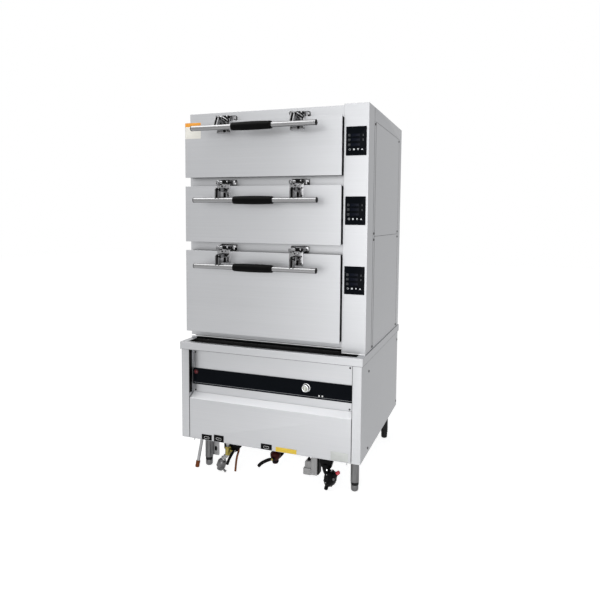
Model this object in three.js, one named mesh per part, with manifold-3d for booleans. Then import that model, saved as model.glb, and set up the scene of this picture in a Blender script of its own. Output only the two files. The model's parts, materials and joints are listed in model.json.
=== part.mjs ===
// Commercial gas steamer: a three-door steaming cabinet standing on a gas boiler base.
// Millimetres, +Z up, +X to the right of someone who faces the doors, -Y towards that person.
// The origin is under the middle of the whole object, on the floor.
import * as THREE from 'three';
import * as BufferGeometryUtils from 'three/addons/utils/BufferGeometryUtils.js';
import Module from 'manifold-3d';

const wasm = await Module();
wasm.setup();

// Overall size: the rolled rim of the deck sets the width and the depth
const width = 1000;
const depth = 900;
const height = 1900;

// Sheet metal and clearances
const sheet = 1.5;
const linerSheet = 1.2;
const gap = 0.3;
const overrun = 5;
const flange = 20;

// Sides of round pieces
const broadSides = 24;
const pipeSides = 16;
const smallSides = 12;
const hexSides = 6;

// Deck: the top of the base, an upturned tray with a drip gutter along its front
const deckTop = 698;
const rimHeight = 38;
const rimOverhang = 6;
const gutterInset = 38;
const gutterFront = 24;
const gutterWidth = 76;
const gutterDepth = 28;

// Base casing, from its floor up to the deck's top
const casingHeight = 518;
const stileWidth = 45;
const recessDepth = 40;
const ventCount = 6;
const ventLength = 180;
const ventHeight = 8;
const ventPitch = 22;
const ventDrop = 116;
const ventOffset = 260;
const pipeHoleClearance = 2;

// Front of the base: fascia, glass control strip and lift-off lower panel
const fasciaDrop = 34;
const fasciaHeight = 243;
const stripDrop = 147;
const stripHeight = 87;
const stripThickness = 4;
const stripSideGap = 2;
const lipHeight = 24;
const panelSideGap = 3;
const panelPinInset = 22;
const panelPinRadius = 3;
const panelPinLength = 16;

// Gas knob and pilot lamp on the strip, measured down from its top edge
const knobRadius = 22;
const knobLength = 20;
const knobEdge = 4;
const knobFromRight = 298;
const knobDrop = 36;
const knobRidgeWidth = 7;
const knobRidgeHeight = 3;
const shaftRadius = 5;
const shaftLength = 24;
const lampRadius = 9;
const lampHeight = 4;
const lampFromLeft = 72;
const lampDrop = 20;
const lampShankRadius = 6;

// Legs
const legRadius = 21.5;
const footRadius = 19;
const footHeight = 37;
const footEdge = 6;
const legPlateSize = 74;
const legPlateThickness = 4;
const legFromLeft = 115;
const legFromRight = 57;
const legFromFront = 100;
const legFromBack = 110;

// Boiler, its firebox and flue, and the burner under it
const boilerSide = 120;
const boilerFront = 150;
const boilerBack = 100;
const boilerStackShares = { headroom: 98, tank: 170, firebox: 160, legs: 90 };
const boilerWall = 3;
const boilerLeg = 40;
const flueSize = 110;
const flueEnd = 3;
const burnerBarCount = 5;
const burnerBarRadius = 18;
const burnerBarLength = 420;
const burnerPitch = 120;
const burnerDrop = 16;
const manifoldRadius = 14;
const burnerLegWidth = 26;

// Upper cabinet
const frameFace = 105;
const columnWidth = 122;
const columnFace = 72;
const columnDepth = 133;
const topStrip = 66;
const backStrip = 75;
const sideSeamDrop = 631;
const joggleWidth = 18;

// Doors, from the top one down
const doorHeightShares = [284, 290, 435];
const topRail = 54;
const bottomRail = 49;
const doorPitchGap = 45;
const doorFace = 52;
const doorToColumn = 4;
const doorSideInset = 2;
const doorLip = 6;
const gasketInset = 2;
const gasketWidth = 38;
const doorPanDepth = 44;
const breatherLength = 30;
const breatherWidth = 8;

// Steaming chambers, racks and steam riser
const mouthInset = 35;
const chamberBackInset = 100;
const rackUp = 60;
const ledgeWidth = 14;
const rackSideGap = 2;
const rackFrontGap = 12;
const rackBarWidth = 4;
const rackBarHeight = 12;
const rackBarCount = 9;
const rackRailCount = 1;
const riserWidth = 120;
const riserDepth = 60;
const steamSlotWidth = 80;
const steamSlotHeight = 30;
const riserHeadroom = 60;
const drainHoleRadius = 12;

// Touch displays on the control column
const displayWidth = 101;
const displayHeight = 136;
const displayDrop = 55;
const displayLip = 4;
const displayProud = 2.5;
const displayBody = 22;

// Door hinges: a bracket on the frame with a pin, and a leaf on the door
const hingeSpacing = 404;
const pivotUp = 18;
const pivotFace = 50;
const pinRadius = 4;
const boreRadius = 4.6;
const knuckleRadius = 9;
const knuckleLength = 40;
const earThickness = 7;
const earRadius = 10;
const earSideGap = 0.6;
const bracketWidth = 94;
const bracketHeight = 30;
const bracketThickness = 5;
const leafWidth = 75;
const leafHeight = 58;
const leafThickness = 4;
const leafCorner = 6;
const leafDrop = 2;

// Handle: a bar on two arms that turn on the door leaves
const armPivotDrop = 20;
const armPivotOut = 12;
const armShift = 23;
const armThickness = 9;
const armEyeRadius = 11;
const armHalfWidth = 9;
const lugThickness = 6;
const barOut = 56;
const barDrop = 55;
const barRadius = 13;
const barLength = 668;
const barWall = 2;
const gripLength = 212;
const gripRadius = 19;
const gripBulge = 2;
const gripBore = 13.4;
const handleRaiseDegrees = [24, 0, 0];

// Fittings under the base: from the sides and front of the rim, and down from the casing's floor
const overflowFromLeft = 104;
const overflowLean = 36;
const overflowFromFront = 50;
const overflowRadius = 7;
const overflowClearance = 3;
const overflowCollar = 16;
const drainFromLeft = 254;
const drainFromFront = 58;
const drainPipeRadius = 11;
const drainBodyRadius = 17;
const drainBodyDrop = 38;
const drainBodyHeight = 46;
const stemRadius = 5;
const stemLength = 16;
const spoutRadius = 24;
const spoutMouthShare = 0.72;
const spoutNeckRadius = 12;
const spoutLeft = 34;
const spoutForward = 16;
const spoutClearance = 22;
const spoutRootUp = 68;
const leverThickness = 4;
const leverHalfWidth = 7;
const leverBendShares = [[0.35, 0.2], [0.8, 0.6]];
const drainLeverOut = 52;
const drainLeverDown = 62;
const cockFromMiddle = 24;
const cockFromFront = 70;
const cockDrop = 42;
const cockHeight = 50;
const cockRadius = 20;
const cockWaistRadius = 13;
const cockPipeRadius = 12;
const cockStemDrop = 56;
const cockLeverOut = 66;
const cockLeverDown = 58;
const solenoidFromRight = 257;
const solenoidFromFront = 85;
const solenoidWidth = 40;
const solenoidDepth = 50;
const solenoidHeight = 120;
const coilWidth = 36;
const coilDrop = 54;
const coilHeight = 70;
const coilBevel = 8;
const regulatorFromRight = 166;
const regulatorFromFront = 48;
const regulatorDrop = 112;
const regulatorRadius = 32;
const regulatorThickness = 34;
const regulatorDiscShares = [[0.75, -1], [1, -0.4], [1, 0.2], [0.85, 0.6], [0.4, 1]];
const regulatorTurnAngle = 0.5;
const regulatorTiltAngle = 0.3;
const inletPipeFromRight = 200;
const inletPipeFromFront = 70;
const inletPipeRadius = 13;
const inletNutRadius = 20;
const inletNutHeight = 22;
const hoseStubRadius = 8;
const hoseStubClearance = 6;
const hoseStubFromRight = 190;
const redKnobRadius = 10;
const redKnobEndRadius = 8;
const redKnobLength = 16;
const redKnobBossRadius = 7;
const redKnobAngle = 0.75;

// Places worked out from the sizes above
const leftFace = -width / 2 + rimOverhang;
const rightFace = width / 2 - rimOverhang;
const casingFront = rimOverhang;
const casingBack = depth - rimOverhang;
const casingBottom = deckTop - casingHeight;
const columnLeft = rightFace - columnWidth;
const doorLeft = leftFace + doorSideInset;
const doorRight = columnLeft - doorToColumn;
const doorCentre = (doorLeft + doorRight) / 2;
const doorWidth = doorRight - doorLeft;
const doorStack = height - topRail - bottomRail - deckTop - doorPitchGap * (doorHeightShares.length - 1);
const doorHeights = doorHeightShares.map((share) => doorStack * share
  / doorHeightShares.reduce((sum, part) => sum + part));
const doorTops = doorHeights.map((_, index) => height - topRail
  - doorHeights.slice(0, index).reduce((sum, tall) => sum + tall + doorPitchGap, 0));
const cabinetBottom = deckTop + gap;
const shellFront = frameFace + sheet + gap;
const columnBack = columnFace + columnDepth;
const recessFace = casingFront + recessDepth;
const recessSpan = [leftFace + stileWidth, rightFace - stileWidth];
const barReach = Math.hypot(barOut, barDrop);
const barAngle = Math.atan2(barDrop, barOut);
const armPivotFace = doorFace - gap - leafThickness - armPivotOut;
const frontReach = Math.max(...handleRaiseDegrees.map((raise) => barReach
  * Math.cos(barAngle - THREE.MathUtils.degToRad(raise)))) + gripRadius + gripBulge - armPivotFace;
const middle = (depth - frontReach) / 2;
const chamberBack = depth - chamberBackInset;
const riserFront = chamberBack + gap;
const sideSeam = height - sideSeamDrop;
const fasciaTop = deckTop - fasciaDrop;
const fasciaBottom = fasciaTop - fasciaHeight;
const stripTop = deckTop - stripDrop;
const stripBottom = stripTop - stripHeight;
const lipBottom = fasciaBottom - lipHeight;
const knobUp = stripTop - knobDrop;
const lampUp = stripTop - lampDrop;
const boilerScale = (deckTop - casingBottom)
  / Object.values(boilerStackShares).reduce((sum, share) => sum + share);
const boilerTop = deckTop - boilerStackShares.headroom * boilerScale;
const boilerFloor = boilerTop - boilerStackShares.tank * boilerScale;
const fireboxBottom = boilerFloor - boilerStackShares.firebox * boilerScale;
const flueUp = (boilerFloor + fireboxBottom) / 2;
const burnerUp = fireboxBottom - burnerDrop - burnerBarRadius;
const floorSeat = casingBottom - gap;

// Finishes
const steel = { color: 0xc9cacd, roughness: 0.35, metalness: 0.9 };
const linerSteel = { color: 0xb9babd, roughness: 0.3, metalness: 0.9 };
const castSteel = { color: 0xa9aaad, roughness: 0.25, metalness: 1 };
const blackRubber = { color: 0x141414, roughness: 0.7, metalness: 0 };
const blackGlass = { color: 0x08090b, roughness: 0.08, metalness: 0 };
const polished = { color: 0xd8d8d8, roughness: 0.12, metalness: 1 };
const redLens = { color: 0x8c1420, roughness: 0.2, metalness: 0 };
const brass = { color: 0xb08d3c, roughness: 0.3, metalness: 1 };
const blackPaint = { color: 0x101010, roughness: 0.5, metalness: 0 };
const castIron = { color: 0x3a3a3c, roughness: 0.8, metalness: 0.6 };
const greyPlastic = { color: 0x6f7174, roughness: 0.5, metalness: 0 };
const greyCoil = { color: 0x8d8d8b, roughness: 0.55, metalness: 0.2 };
const redPlastic = { color: 0xc21f33, roughness: 0.35, metalness: 0 };

const steamer = new THREE.Group();
steamer.position.y = -middle;

function add(parent, name, geometry, finish) {
  const mesh = new THREE.Mesh(geometry, new THREE.MeshStandardMaterial(finish));
  mesh.name = name;
  parent.add(mesh);
  return mesh;
}

function solidOf(geometry) {
  const bare = geometry.clone();
  bare.deleteAttribute('normal');
  bare.deleteAttribute('uv');
  const merged = BufferGeometryUtils.mergeVertices(bare);
  return new wasm.Manifold(new wasm.Mesh({
    numProp: 3,
    vertProperties: new Float32Array(merged.attributes.position.array),
    triVerts: new Uint32Array(merged.index.array),
  }));
}

function geometryOf(solid) {
  const mesh = solid.getMesh();
  const geometry = new THREE.BufferGeometry();
  geometry.setAttribute('position', new THREE.BufferAttribute(mesh.vertProperties, 3));
  geometry.setIndex(new THREE.BufferAttribute(mesh.triVerts, 1));
  return geometry;
}

function join(...geometries) {
  return geometryOf(geometries.map(solidOf).reduce((whole, piece) => whole.add(piece)));
}

function cut(geometry, ...tools) {
  return geometryOf(tools.map(solidOf).reduce((whole, tool) => whole.subtract(tool), solidOf(geometry)));
}

// A block over three spans, each written [low, high]
function block(xs, ys, zs) {
  const box = new THREE.BoxGeometry(xs[1] - xs[0], ys[1] - ys[0], zs[1] - zs[0]);
  return box.translate((xs[0] + xs[1]) / 2, (ys[0] + ys[1]) / 2, (zs[0] + zs[1]) / 2);
}

function grow(span, by) {
  return [span[0] - by, span[1] + by];
}

function around(centre, size) {
  return [centre - size / 2, centre + size / 2];
}

// A folded sheet box: its inside is taken out, and each side named in open is left off
function sheetBox(xs, ys, zs, wall, open) {
  const inset = (side) => (open.includes(side) ? -overrun : wall);
  return cut(block(xs, ys, zs), block(
    [xs[0] + inset('left'), xs[1] - inset('right')],
    [ys[0] + inset('front'), ys[1] - inset('back')],
    [zs[0] + inset('bottom'), zs[1] - inset('top')],
  ));
}

// A round bar from one point to another
function rod(from, to, radius, sides, endRadius = radius) {
  const start = new THREE.Vector3(...from);
  const run = new THREE.Vector3(...to).sub(start);
  const bar = new THREE.CylinderGeometry(endRadius, radius, run.length(), sides);
  bar.translate(0, run.length() / 2, 0);
  const turn = new THREE.Quaternion().setFromUnitVectors(new THREE.Vector3(0, 1, 0), run.normalize());
  return bar.applyQuaternion(turn).translate(...from);
}

// A turned piece about the Y axis, from radius and place pairs in rising order of place
function turned(profile, sides) {
  return new THREE.LatheGeometry(profile.map(([radius, place]) => new THREE.Vector2(radius, place)), sides);
}

// An outline in Y and Z, carried along X from one place to another
function alongX(points, xs) {
  const shape = new THREE.Shape(points.map(([y, z]) => new THREE.Vector2(y, z)));
  const solid = new THREE.ExtrudeGeometry(shape, { depth: xs[1] - xs[0], bevelEnabled: false });
  const basis = new THREE.Matrix4().makeBasis(
    new THREE.Vector3(0, 1, 0),
    new THREE.Vector3(0, 0, 1),
    new THREE.Vector3(1, 0, 0),
  );
  return solid.applyMatrix4(basis).translate(xs[0], 0, 0);
}

// A plate in X and Z with round corners, carried along Y
function roundedPlate(xs, zs, ys, corner) {
  const shape = new THREE.Shape();
  shape.moveTo(xs[0] + corner, zs[0]);
  shape.lineTo(xs[1] - corner, zs[0]);
  shape.absarc(xs[1] - corner, zs[0] + corner, corner, -Math.PI / 2, 0);
  shape.lineTo(xs[1], zs[1] - corner);
  shape.absarc(xs[1] - corner, zs[1] - corner, corner, 0, Math.PI / 2);
  shape.lineTo(xs[0] + corner, zs[1]);
  shape.absarc(xs[0] + corner, zs[1] - corner, corner, Math.PI / 2, Math.PI);
  shape.lineTo(xs[0], zs[0] + corner);
  shape.absarc(xs[0] + corner, zs[0] + corner, corner, Math.PI, Math.PI * 1.5);
  const plate = new THREE.ExtrudeGeometry(shape, {
    depth: ys[1] - ys[0],
    bevelEnabled: false,
    curveSegments: 2,
  });
  return plate.rotateX(Math.PI / 2).translate(0, ys[1], 0);
}

// A link outline in Y and Z: a straight bar with a round end about each of two points
function link(from, to, startRadius, endRadius) {
  const heading = Math.atan2(to[1] - from[1], to[0] - from[0]);
  const turns = 5;
  const end = (centre, radius, facing) => Array.from({ length: turns + 1 }, (_, step) => {
    const angle = facing - Math.PI / 2 + (step / turns) * Math.PI;
    return [centre[0] + radius * Math.cos(angle), centre[1] + radius * Math.sin(angle)];
  });
  return [...end(to, endRadius, heading), ...end(from, startRadius, heading + Math.PI)];
}

// A flat strip that follows a list of Y and Z points, as wide as twice its half width
function strap(points, halfWidth) {
  const offset = (side) => points.map((point, index) => {
    const before = points[Math.max(index - 1, 0)];
    const after = points[Math.min(index + 1, points.length - 1)];
    const run = new THREE.Vector2(after[0] - before[0], after[1] - before[1]).normalize();
    return [point[0] - side * run.y * halfWidth, point[1] + side * run.x * halfWidth];
  });
  return [...offset(-1), ...offset(1).reverse()];
}

// Base casing: floor, two sides, back and the two front stiles with their returns
function baseCasing() {
  const casing = sheetBox(
    [leftFace, rightFace],
    [casingFront, casingBack],
    [casingBottom, deckTop - sheet - gap],
    sheet,
    ['front', 'top'],
  );
  const ventTop = deckTop - ventDrop;
  const stiles = [[leftFace, recessSpan[0]], [recessSpan[1], rightFace]].map((span) => sheetBox(
    span,
    [casingFront, recessFace + flange],
    [casingBottom, deckTop - gutterDepth - sheet - gap],
    sheet,
    ['back', 'top'],
  ));
  const vents = Array.from({ length: ventCount }, (_, row) => block(
    around(ventOffset, ventLength),
    [casingBack - sheet - overrun, casingBack + overrun],
    [ventTop - ventPitch * row - ventHeight, ventTop - ventPitch * row],
  ));
  const pinHoles = panelPinPlaces().map((x) => rod(
    [x, panelPinFace(), casingBottom - overrun],
    [x, panelPinFace(), casingBottom + sheet + overrun],
    panelPinRadius + pipeHoleClearance,
    smallSides,
  ));
  const flueHole = block(
    grow(around(0, flueSize), pipeHoleClearance),
    [casingBack - sheet - overrun, casingBack + overrun],
    grow(around(flueUp, flueSize), pipeHoleClearance),
  );
  return cut(join(casing, ...stiles), ...vents, ...pinHoles, flueHole);
}

// Deck: an upturned tray whose skirt is the rolled rim, with the gutter and the riser's hole
function deck() {
  const tray = sheetBox(
    [-width / 2, width / 2],
    [0, depth],
    [deckTop - rimHeight, deckTop],
    sheet,
    ['bottom'],
  );
  const gutter = {
    xs: [-width / 2 + gutterInset, width / 2 - gutterInset],
    ys: [gutterFront, gutterFront + gutterWidth],
    zs: [deckTop - gutterDepth, deckTop],
  };
  const channel = block(grow(gutter.xs, sheet), grow(gutter.ys, sheet), [gutter.zs[0] - sheet, gutter.zs[1]]);
  return cut(
    join(tray, channel),
    block(gutter.xs, gutter.ys, [gutter.zs[0], gutter.zs[1] + overrun]),
    block(
      around(doorCentre, riserWidth + pipeHoleClearance * 2),
      grow([riserFront, riserFront + riserDepth], pipeHoleClearance),
      [deckTop - sheet - overrun, deckTop + overrun],
    ),
  );
}

// Fascia: the recessed steel panel between the stiles, with a hole for the knob's shaft and the lamp
function fascia() {
  const pan = sheetBox(
    grow(recessSpan, -gap),
    [recessFace, recessFace + flange],
    [fasciaBottom, fasciaTop],
    sheet,
    ['back'],
  );
  const shaftHole = rod(
    [width / 2 - knobFromRight, recessFace - overrun, knobUp],
    [width / 2 - knobFromRight, recessFace + overrun, knobUp],
    shaftRadius + gap * 2,
    pipeSides,
  );
  const lampHole = rod(
    [-width / 2 + lampFromLeft, recessFace - overrun, lampUp],
    [-width / 2 + lampFromLeft, recessFace + overrun, lampUp],
    lampShankRadius + gap * 2,
    pipeSides,
  );
  return cut(pan, shaftHole, lampHole);
}

// Control strip: a black glass bar on the fascia
function controlStrip() {
  const back = recessFace - gap;
  const bar = block(
    grow(recessSpan, -gap - stripSideGap),
    [back - stripThickness, back],
    [stripBottom, stripTop],
  );
  const hole = (x, up, radius) => rod(
    [x, back - stripThickness - overrun, up],
    [x, back + overrun, up],
    radius + gap * 2,
    pipeSides,
  );
  return cut(
    bar,
    hole(width / 2 - knobFromRight, knobUp, shaftRadius),
    hole(-width / 2 + lampFromLeft, lampUp, lampShankRadius),
  );
}

function panelPinPlaces() {
  return [recessSpan[0] + panelSideGap + panelPinInset, recessSpan[1] - panelSideGap - panelPinInset];
}

function panelPinFace() {
  return casingFront + flange / 2;
}

// Lower panel: one folded sheet with a slanted top lip, standing on two pins in the casing's floor
function lowerPanel() {
  const bottom = casingBottom + sheet + gap;
  const outside = [
    [casingFront + flange, bottom],
    [casingFront, bottom],
    [casingFront, lipBottom],
    [recessFace - gap, fasciaBottom - gap],
    [recessFace + flange, fasciaBottom - gap],
  ];
  const inside = [
    [recessFace + flange, fasciaBottom - gap - sheet],
    [recessFace - gap + sheet / 2, fasciaBottom - gap - sheet],
    [casingFront + sheet, lipBottom - sheet / 2],
    [casingFront + sheet, bottom + sheet],
    [casingFront + flange, bottom + sheet],
  ];
  const front = alongX([...outside, ...inside], grow(recessSpan, -panelSideGap));
  const pins = panelPinPlaces().map((x) => rod(
    [x, panelPinFace(), bottom + sheet / 2],
    [x, panelPinFace(), bottom - panelPinLength],
    panelPinRadius,
    smallSides,
  ));
  return join(front, ...pins);
}

// Gas knob: a turned knob with a pointer ridge, on its own shaft; its axis points at the user
function gasKnob() {
  const back = -gap;
  const profile = [
    [0, shaftLength],
    [shaftRadius, shaftLength],
    [shaftRadius, back],
    [knobRadius, back],
    [knobRadius, back - knobLength + knobEdge],
    [knobRadius - knobEdge, back - knobLength],
    [0, back - knobLength],
  ];
  const knob = turned(profile.reverse(), broadSides);
  const ridge = block(
    around(0, knobRidgeWidth),
    [back - knobLength - knobRidgeHeight, back - knobLength / 2],
    [-knobRadius + knobEdge, knobRadius - knobEdge],
  );
  return join(knob, ridge);
}

// Pilot lamp: a low dome on a shank, its axis pointing at the user
function pilotLamp() {
  const back = -gap;
  const rings = 3;
  const dome = Array.from({ length: rings + 1 }, (_, step) => {
    const angle = (step / rings) * (Math.PI / 2);
    return [lampRadius * Math.cos(angle), back - lampHeight / 2 - (lampHeight / 2) * Math.sin(angle)];
  });
  dome[rings][0] = 0;
  const profile = [[0, shaftLength / 2], [lampShankRadius, shaftLength / 2], [lampShankRadius, back],
    [lampRadius, back], ...dome];
  return turned(profile.reverse(), pipeSides);
}

// Leg: a round tube with a narrower screw foot, and a square plate under the casing's floor
function leg() {
  const plateBottom = floorSeat - legPlateThickness;
  const profile = [
    [0, 0],
    [footRadius - footEdge, 0],
    [footRadius, footEdge],
    [footRadius, footHeight],
    [legRadius, footHeight],
    [legRadius, plateBottom + legPlateThickness / 2],
    [0, plateBottom + legPlateThickness / 2],
  ];
  const post = turned(profile, broadSides).rotateX(Math.PI / 2);
  const plate = block(around(0, legPlateSize), around(0, legPlateSize), [plateBottom, floorSeat]);
  return join(post, plate);
}

// Boiler: a water tank over an open firebox on four legs, with the flue through the casing's back
function boiler() {
  const xs = [leftFace + boilerSide, rightFace - boilerSide];
  const ys = [boilerFront, casingBack - boilerBack];
  const tank = sheetBox(xs, ys, [boilerFloor, boilerTop], boilerWall, []);
  const firebox = sheetBox(xs, ys, [fireboxBottom, boilerFloor + boilerWall], boilerWall, ['bottom']);
  const flue = block(
    around(0, flueSize),
    [ys[1] - boilerWall, casingBack + flueEnd],
    around(flueUp, flueSize),
  );
  const flueBore = block(
    grow(around(0, flueSize), -boilerWall),
    [ys[1] - boilerWall - overrun, casingBack + flueEnd + overrun],
    grow(around(flueUp, flueSize), -boilerWall),
  );
  const legs = [xs[0], xs[1] - boilerLeg].flatMap((x) => [ys[0], ys[1] - boilerLeg].map((y) => sheetBox(
    [x, x + boilerLeg],
    [y, y + boilerLeg],
    [casingBottom + sheet + gap, fireboxBottom + boilerWall],
    boilerWall,
    ['bottom'],
  )));
  const steamHole = block(
    around(doorCentre, riserWidth - sheet * 2),
    [riserFront + sheet - boilerInset(), riserFront + riserDepth - sheet - boilerInset()],
    [boilerTop - boilerWall - overrun, boilerTop + overrun],
  );
  return cut(join(tank, firebox, flue, ...legs), flueBore, steamHole);
}

// The riser stands behind the tank's back edge, so its foot steps forward over the tank
function boilerInset() {
  return riserFront + riserDepth - (casingBack - boilerBack - flange);
}

// Steam riser: an upright duct with a foot on the tank and a slot to each chamber
function steamRiser() {
  const xs = around(doorCentre, riserWidth);
  const ys = [riserFront, riserFront + riserDepth];
  const top = doorTops[0] - doorHeights[0] / 2 + riserHeadroom;
  const footTop = deckTop - sheet - riserHeadroom / 2;
  const footYs = [ys[0] - boilerInset(), ys[1]];
  const upright = block(xs, ys, [footTop - riserDepth / 2, top]);
  const foot = block(xs, footYs, [boilerTop + gap, footTop]);
  const bore = block(grow(xs, -sheet), grow(ys, -sheet), [footTop - riserDepth / 2, top - sheet]);
  const footBore = block(grow(xs, -sheet), grow(footYs, -sheet), [boilerTop + gap + sheet, footTop - sheet]);
  const footMouth = block(
    grow(xs, -sheet),
    [ys[0] - boilerInset() + sheet, ys[1] - boilerInset() - sheet],
    [boilerTop - overrun, boilerTop + gap + sheet * 2],
  );
  const slots = doorTops.map((_, index) => steamSlot(index, [ys[0] - overrun, ys[0] + sheet + overrun]));
  return cut(join(upright, foot), bore, footBore, footMouth, ...slots);
}

// Burner: a gas manifold with a row of burner bars, on two upright brackets
function burner() {
  const middleY = (boilerFront + casingBack - boilerBack) / 2;
  const barYs = around(middleY, burnerBarLength);
  const rowWidth = burnerPitch * (burnerBarCount - 1);
  const bars = Array.from({ length: burnerBarCount }, (_, index) => {
    const x = -rowWidth / 2 + burnerPitch * index;
    return rod([x, barYs[0], burnerUp], [x, barYs[1], burnerUp], burnerBarRadius, smallSides);
  });
  const manifoldY = barYs[0] + manifoldRadius;
  const manifold = rod(
    [-rowWidth / 2 - burnerPitch / 2, manifoldY, burnerUp],
    [rowWidth / 2 + burnerPitch / 2, manifoldY, burnerUp],
    manifoldRadius,
    smallSides,
  );
  const rail = block(
    around(0, rowWidth + burnerPitch / 2),
    around(barYs[1] - burnerBarRadius, burnerLegWidth),
    around(burnerUp - burnerBarRadius / 2, burnerBarRadius),
  );
  const feet = [-1, 1].flatMap((side) => [manifoldY, barYs[1] - burnerBarRadius].map((y) => block(
    around((side * rowWidth) / 2, burnerLegWidth),
    around(y, burnerLegWidth),
    [casingBottom + sheet + gap, burnerUp],
  )));
  return join(manifold, rail, ...bars, ...feet);
}

// Cabinet shell: left side, back and top in one, with the frame that the right side panels fill
function cabinetShell() {
  const xs = [leftFace, rightFace];
  const ys = [shellFront, casingBack];
  const zs = [cabinetBottom, height];
  const shell = sheetBox(xs, ys, zs, sheet, ['front', 'bottom']);
  const panelOpening = block(
    [rightFace - sheet - overrun, rightFace + overrun],
    [columnBack, casingBack - backStrip],
    [cabinetBottom - overrun, height - topStrip],
  );
  const columnRoom = block(
    [columnLeft - gap, rightFace + overrun],
    [shellFront - overrun, columnBack + gap],
    [cabinetBottom - overrun, height + overrun],
  );
  const seatXs = [rightFace - sheet - gap - sheet, rightFace - sheet - gap];
  const seatTop = block(
    seatXs,
    [columnBack + joggleWidth, casingBack - backStrip + joggleWidth],
    [height - topStrip - joggleWidth, height - sheet / 2],
  );
  const seatBack = block(
    seatXs,
    [casingBack - backStrip - joggleWidth, casingBack - sheet / 2],
    [cabinetBottom, height - sheet / 2],
  );
  return join(cut(shell, panelOpening, columnRoom), seatTop, seatBack);
}

// Right side panels: shallow pans that lie flush in the shell's frame
function sidePanel(zs) {
  const ys = grow([columnBack, casingBack - backStrip], -gap);
  const face = block([rightFace - sheet, rightFace], ys, zs);
  const hem = block(
    [rightFace - sheet - flange, rightFace - sheet / 2],
    [ys[0], ys[0] + sheet],
    zs,
  );
  return join(face, hem);
}

// The slot through which steam enters a chamber, as a cutting block
function steamSlot(index, ys) {
  const up = doorTops[index] - doorHeights[index] / 2;
  return block(around(doorCentre, steamSlotWidth), ys, around(up, steamSlotHeight));
}

// Where each chamber's mouth lies behind its door
function mouth(index) {
  return {
    xs: grow([doorLeft, doorRight], -mouthInset),
    zs: grow([doorTops[index] - doorHeights[index], doorTops[index]], -mouthInset),
  };
}

// Front frame: one sheet with three mouths, and a hem along each side inside the shell
function frontFrame() {
  const xs = [leftFace, columnLeft - gap];
  const face = block(xs, [frameFace, frameFace + sheet], [cabinetBottom, height]);
  const mouths = doorHeights.map((_, index) => {
    const { xs: mouthXs, zs } = mouth(index);
    return block(mouthXs, [frameFace - overrun, frameFace + sheet + overrun], zs);
  });
  const hems = [leftFace + sheet + gap, columnLeft - gap - sheet].map((x) => block(
    [x, x + sheet],
    [frameFace + sheet / 2, frameFace + sheet + flange],
    [cabinetBottom, height - sheet - gap],
  ));
  return cut(join(face, ...hems), ...mouths);
}

// Steaming chamber: a liner box with a flange behind the frame, rack ledges, steam inlet and drain
function steamChamber(index) {
  const { xs, zs } = mouth(index);
  const front = frameFace + sheet + gap;
  const box = sheetBox(
    grow(xs, linerSheet),
    [front, chamberBack],
    grow(zs, linerSheet),
    linerSheet,
    ['front'],
  );
  const rim = cut(
    block(grow(xs, flange), [front, front + linerSheet], grow(zs, flange)),
    block(xs, [front - overrun, front + linerSheet + overrun], zs),
  );
  const ledgeTop = zs[0] + rackUp;
  const ledges = [[xs[0] - linerSheet / 2, xs[0] + ledgeWidth], [xs[1] - ledgeWidth, xs[1] + linerSheet / 2]]
    .map((span) => block(span, [front + flange, chamberBack - linerSheet / 2], [ledgeTop - sheet, ledgeTop]));
  const inlet = steamSlot(index, [chamberBack - linerSheet - overrun, chamberBack + overrun]);
  const drain = rod(
    [doorCentre, front + flange * 2, zs[0] - linerSheet - overrun],
    [doorCentre, front + flange * 2, zs[0] + overrun],
    drainHoleRadius,
    pipeSides,
  );
  return cut(join(box, rim, ...ledges), inlet, drain);
}

// Rack: flat bars on edge between two ends and two cross rails, lying on the chamber's ledges
function rack(index) {
  const { xs, zs } = mouth(index);
  const bottom = zs[0] + rackUp + gap;
  const heights = [bottom, bottom + rackBarHeight];
  const rackXs = grow(xs, -rackSideGap);
  const rackYs = [frameFace + sheet + flange + rackFrontGap, chamberBack - linerSheet - rackFrontGap];
  const columns = rackBarCount - 1;
  const rows = rackRailCount + 1;
  const pitch = {
    x: (rackXs[1] - rackXs[0] - rackBarWidth) / columns,
    y: (rackYs[1] - rackYs[0] - rackBarWidth) / rows,
  };
  const openings = Array.from({ length: columns * rows }, (_, cell) => {
    const x = rackXs[0] + pitch.x * (cell % columns);
    const y = rackYs[0] + pitch.y * Math.floor(cell / columns);
    return block(
      [x + rackBarWidth, x + pitch.x],
      [y + rackBarWidth, y + pitch.y],
      grow(heights, overrun),
    );
  });
  return cut(block(rackXs, rackYs, heights), ...openings);
}

// Control column: a folded upright box, open at the back and the foot, with a window per display
function controlColumn() {
  const box = sheetBox(
    [columnLeft, rightFace],
    [columnFace, columnBack],
    [cabinetBottom, height],
    sheet,
    ['back', 'bottom'],
  );
  const windows = doorTops.map((doorTop) => block(
    around((columnLeft + rightFace) / 2, displayWidth - displayLip * 2),
    [columnFace - overrun, columnFace + sheet + overrun],
    grow([doorTop - displayDrop - displayHeight, doorTop - displayDrop], -displayLip),
  ));
  return cut(box, ...windows);
}

// Display: a glass plate on the column's face with its body behind, through the window
function display(index) {
  const top = doorTops[index] - displayDrop;
  const centre = (columnLeft + rightFace) / 2;
  const zs = [top - displayHeight, top];
  const plate = block(around(centre, displayWidth), [columnFace - gap - displayProud, columnFace - gap], zs);
  const body = block(
    around(centre, displayWidth - (displayLip + gap) * 2),
    [columnFace - gap - displayProud / 2, columnFace + displayBody],
    grow(zs, -displayLip - gap),
  );
  return join(plate, body);
}

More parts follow.
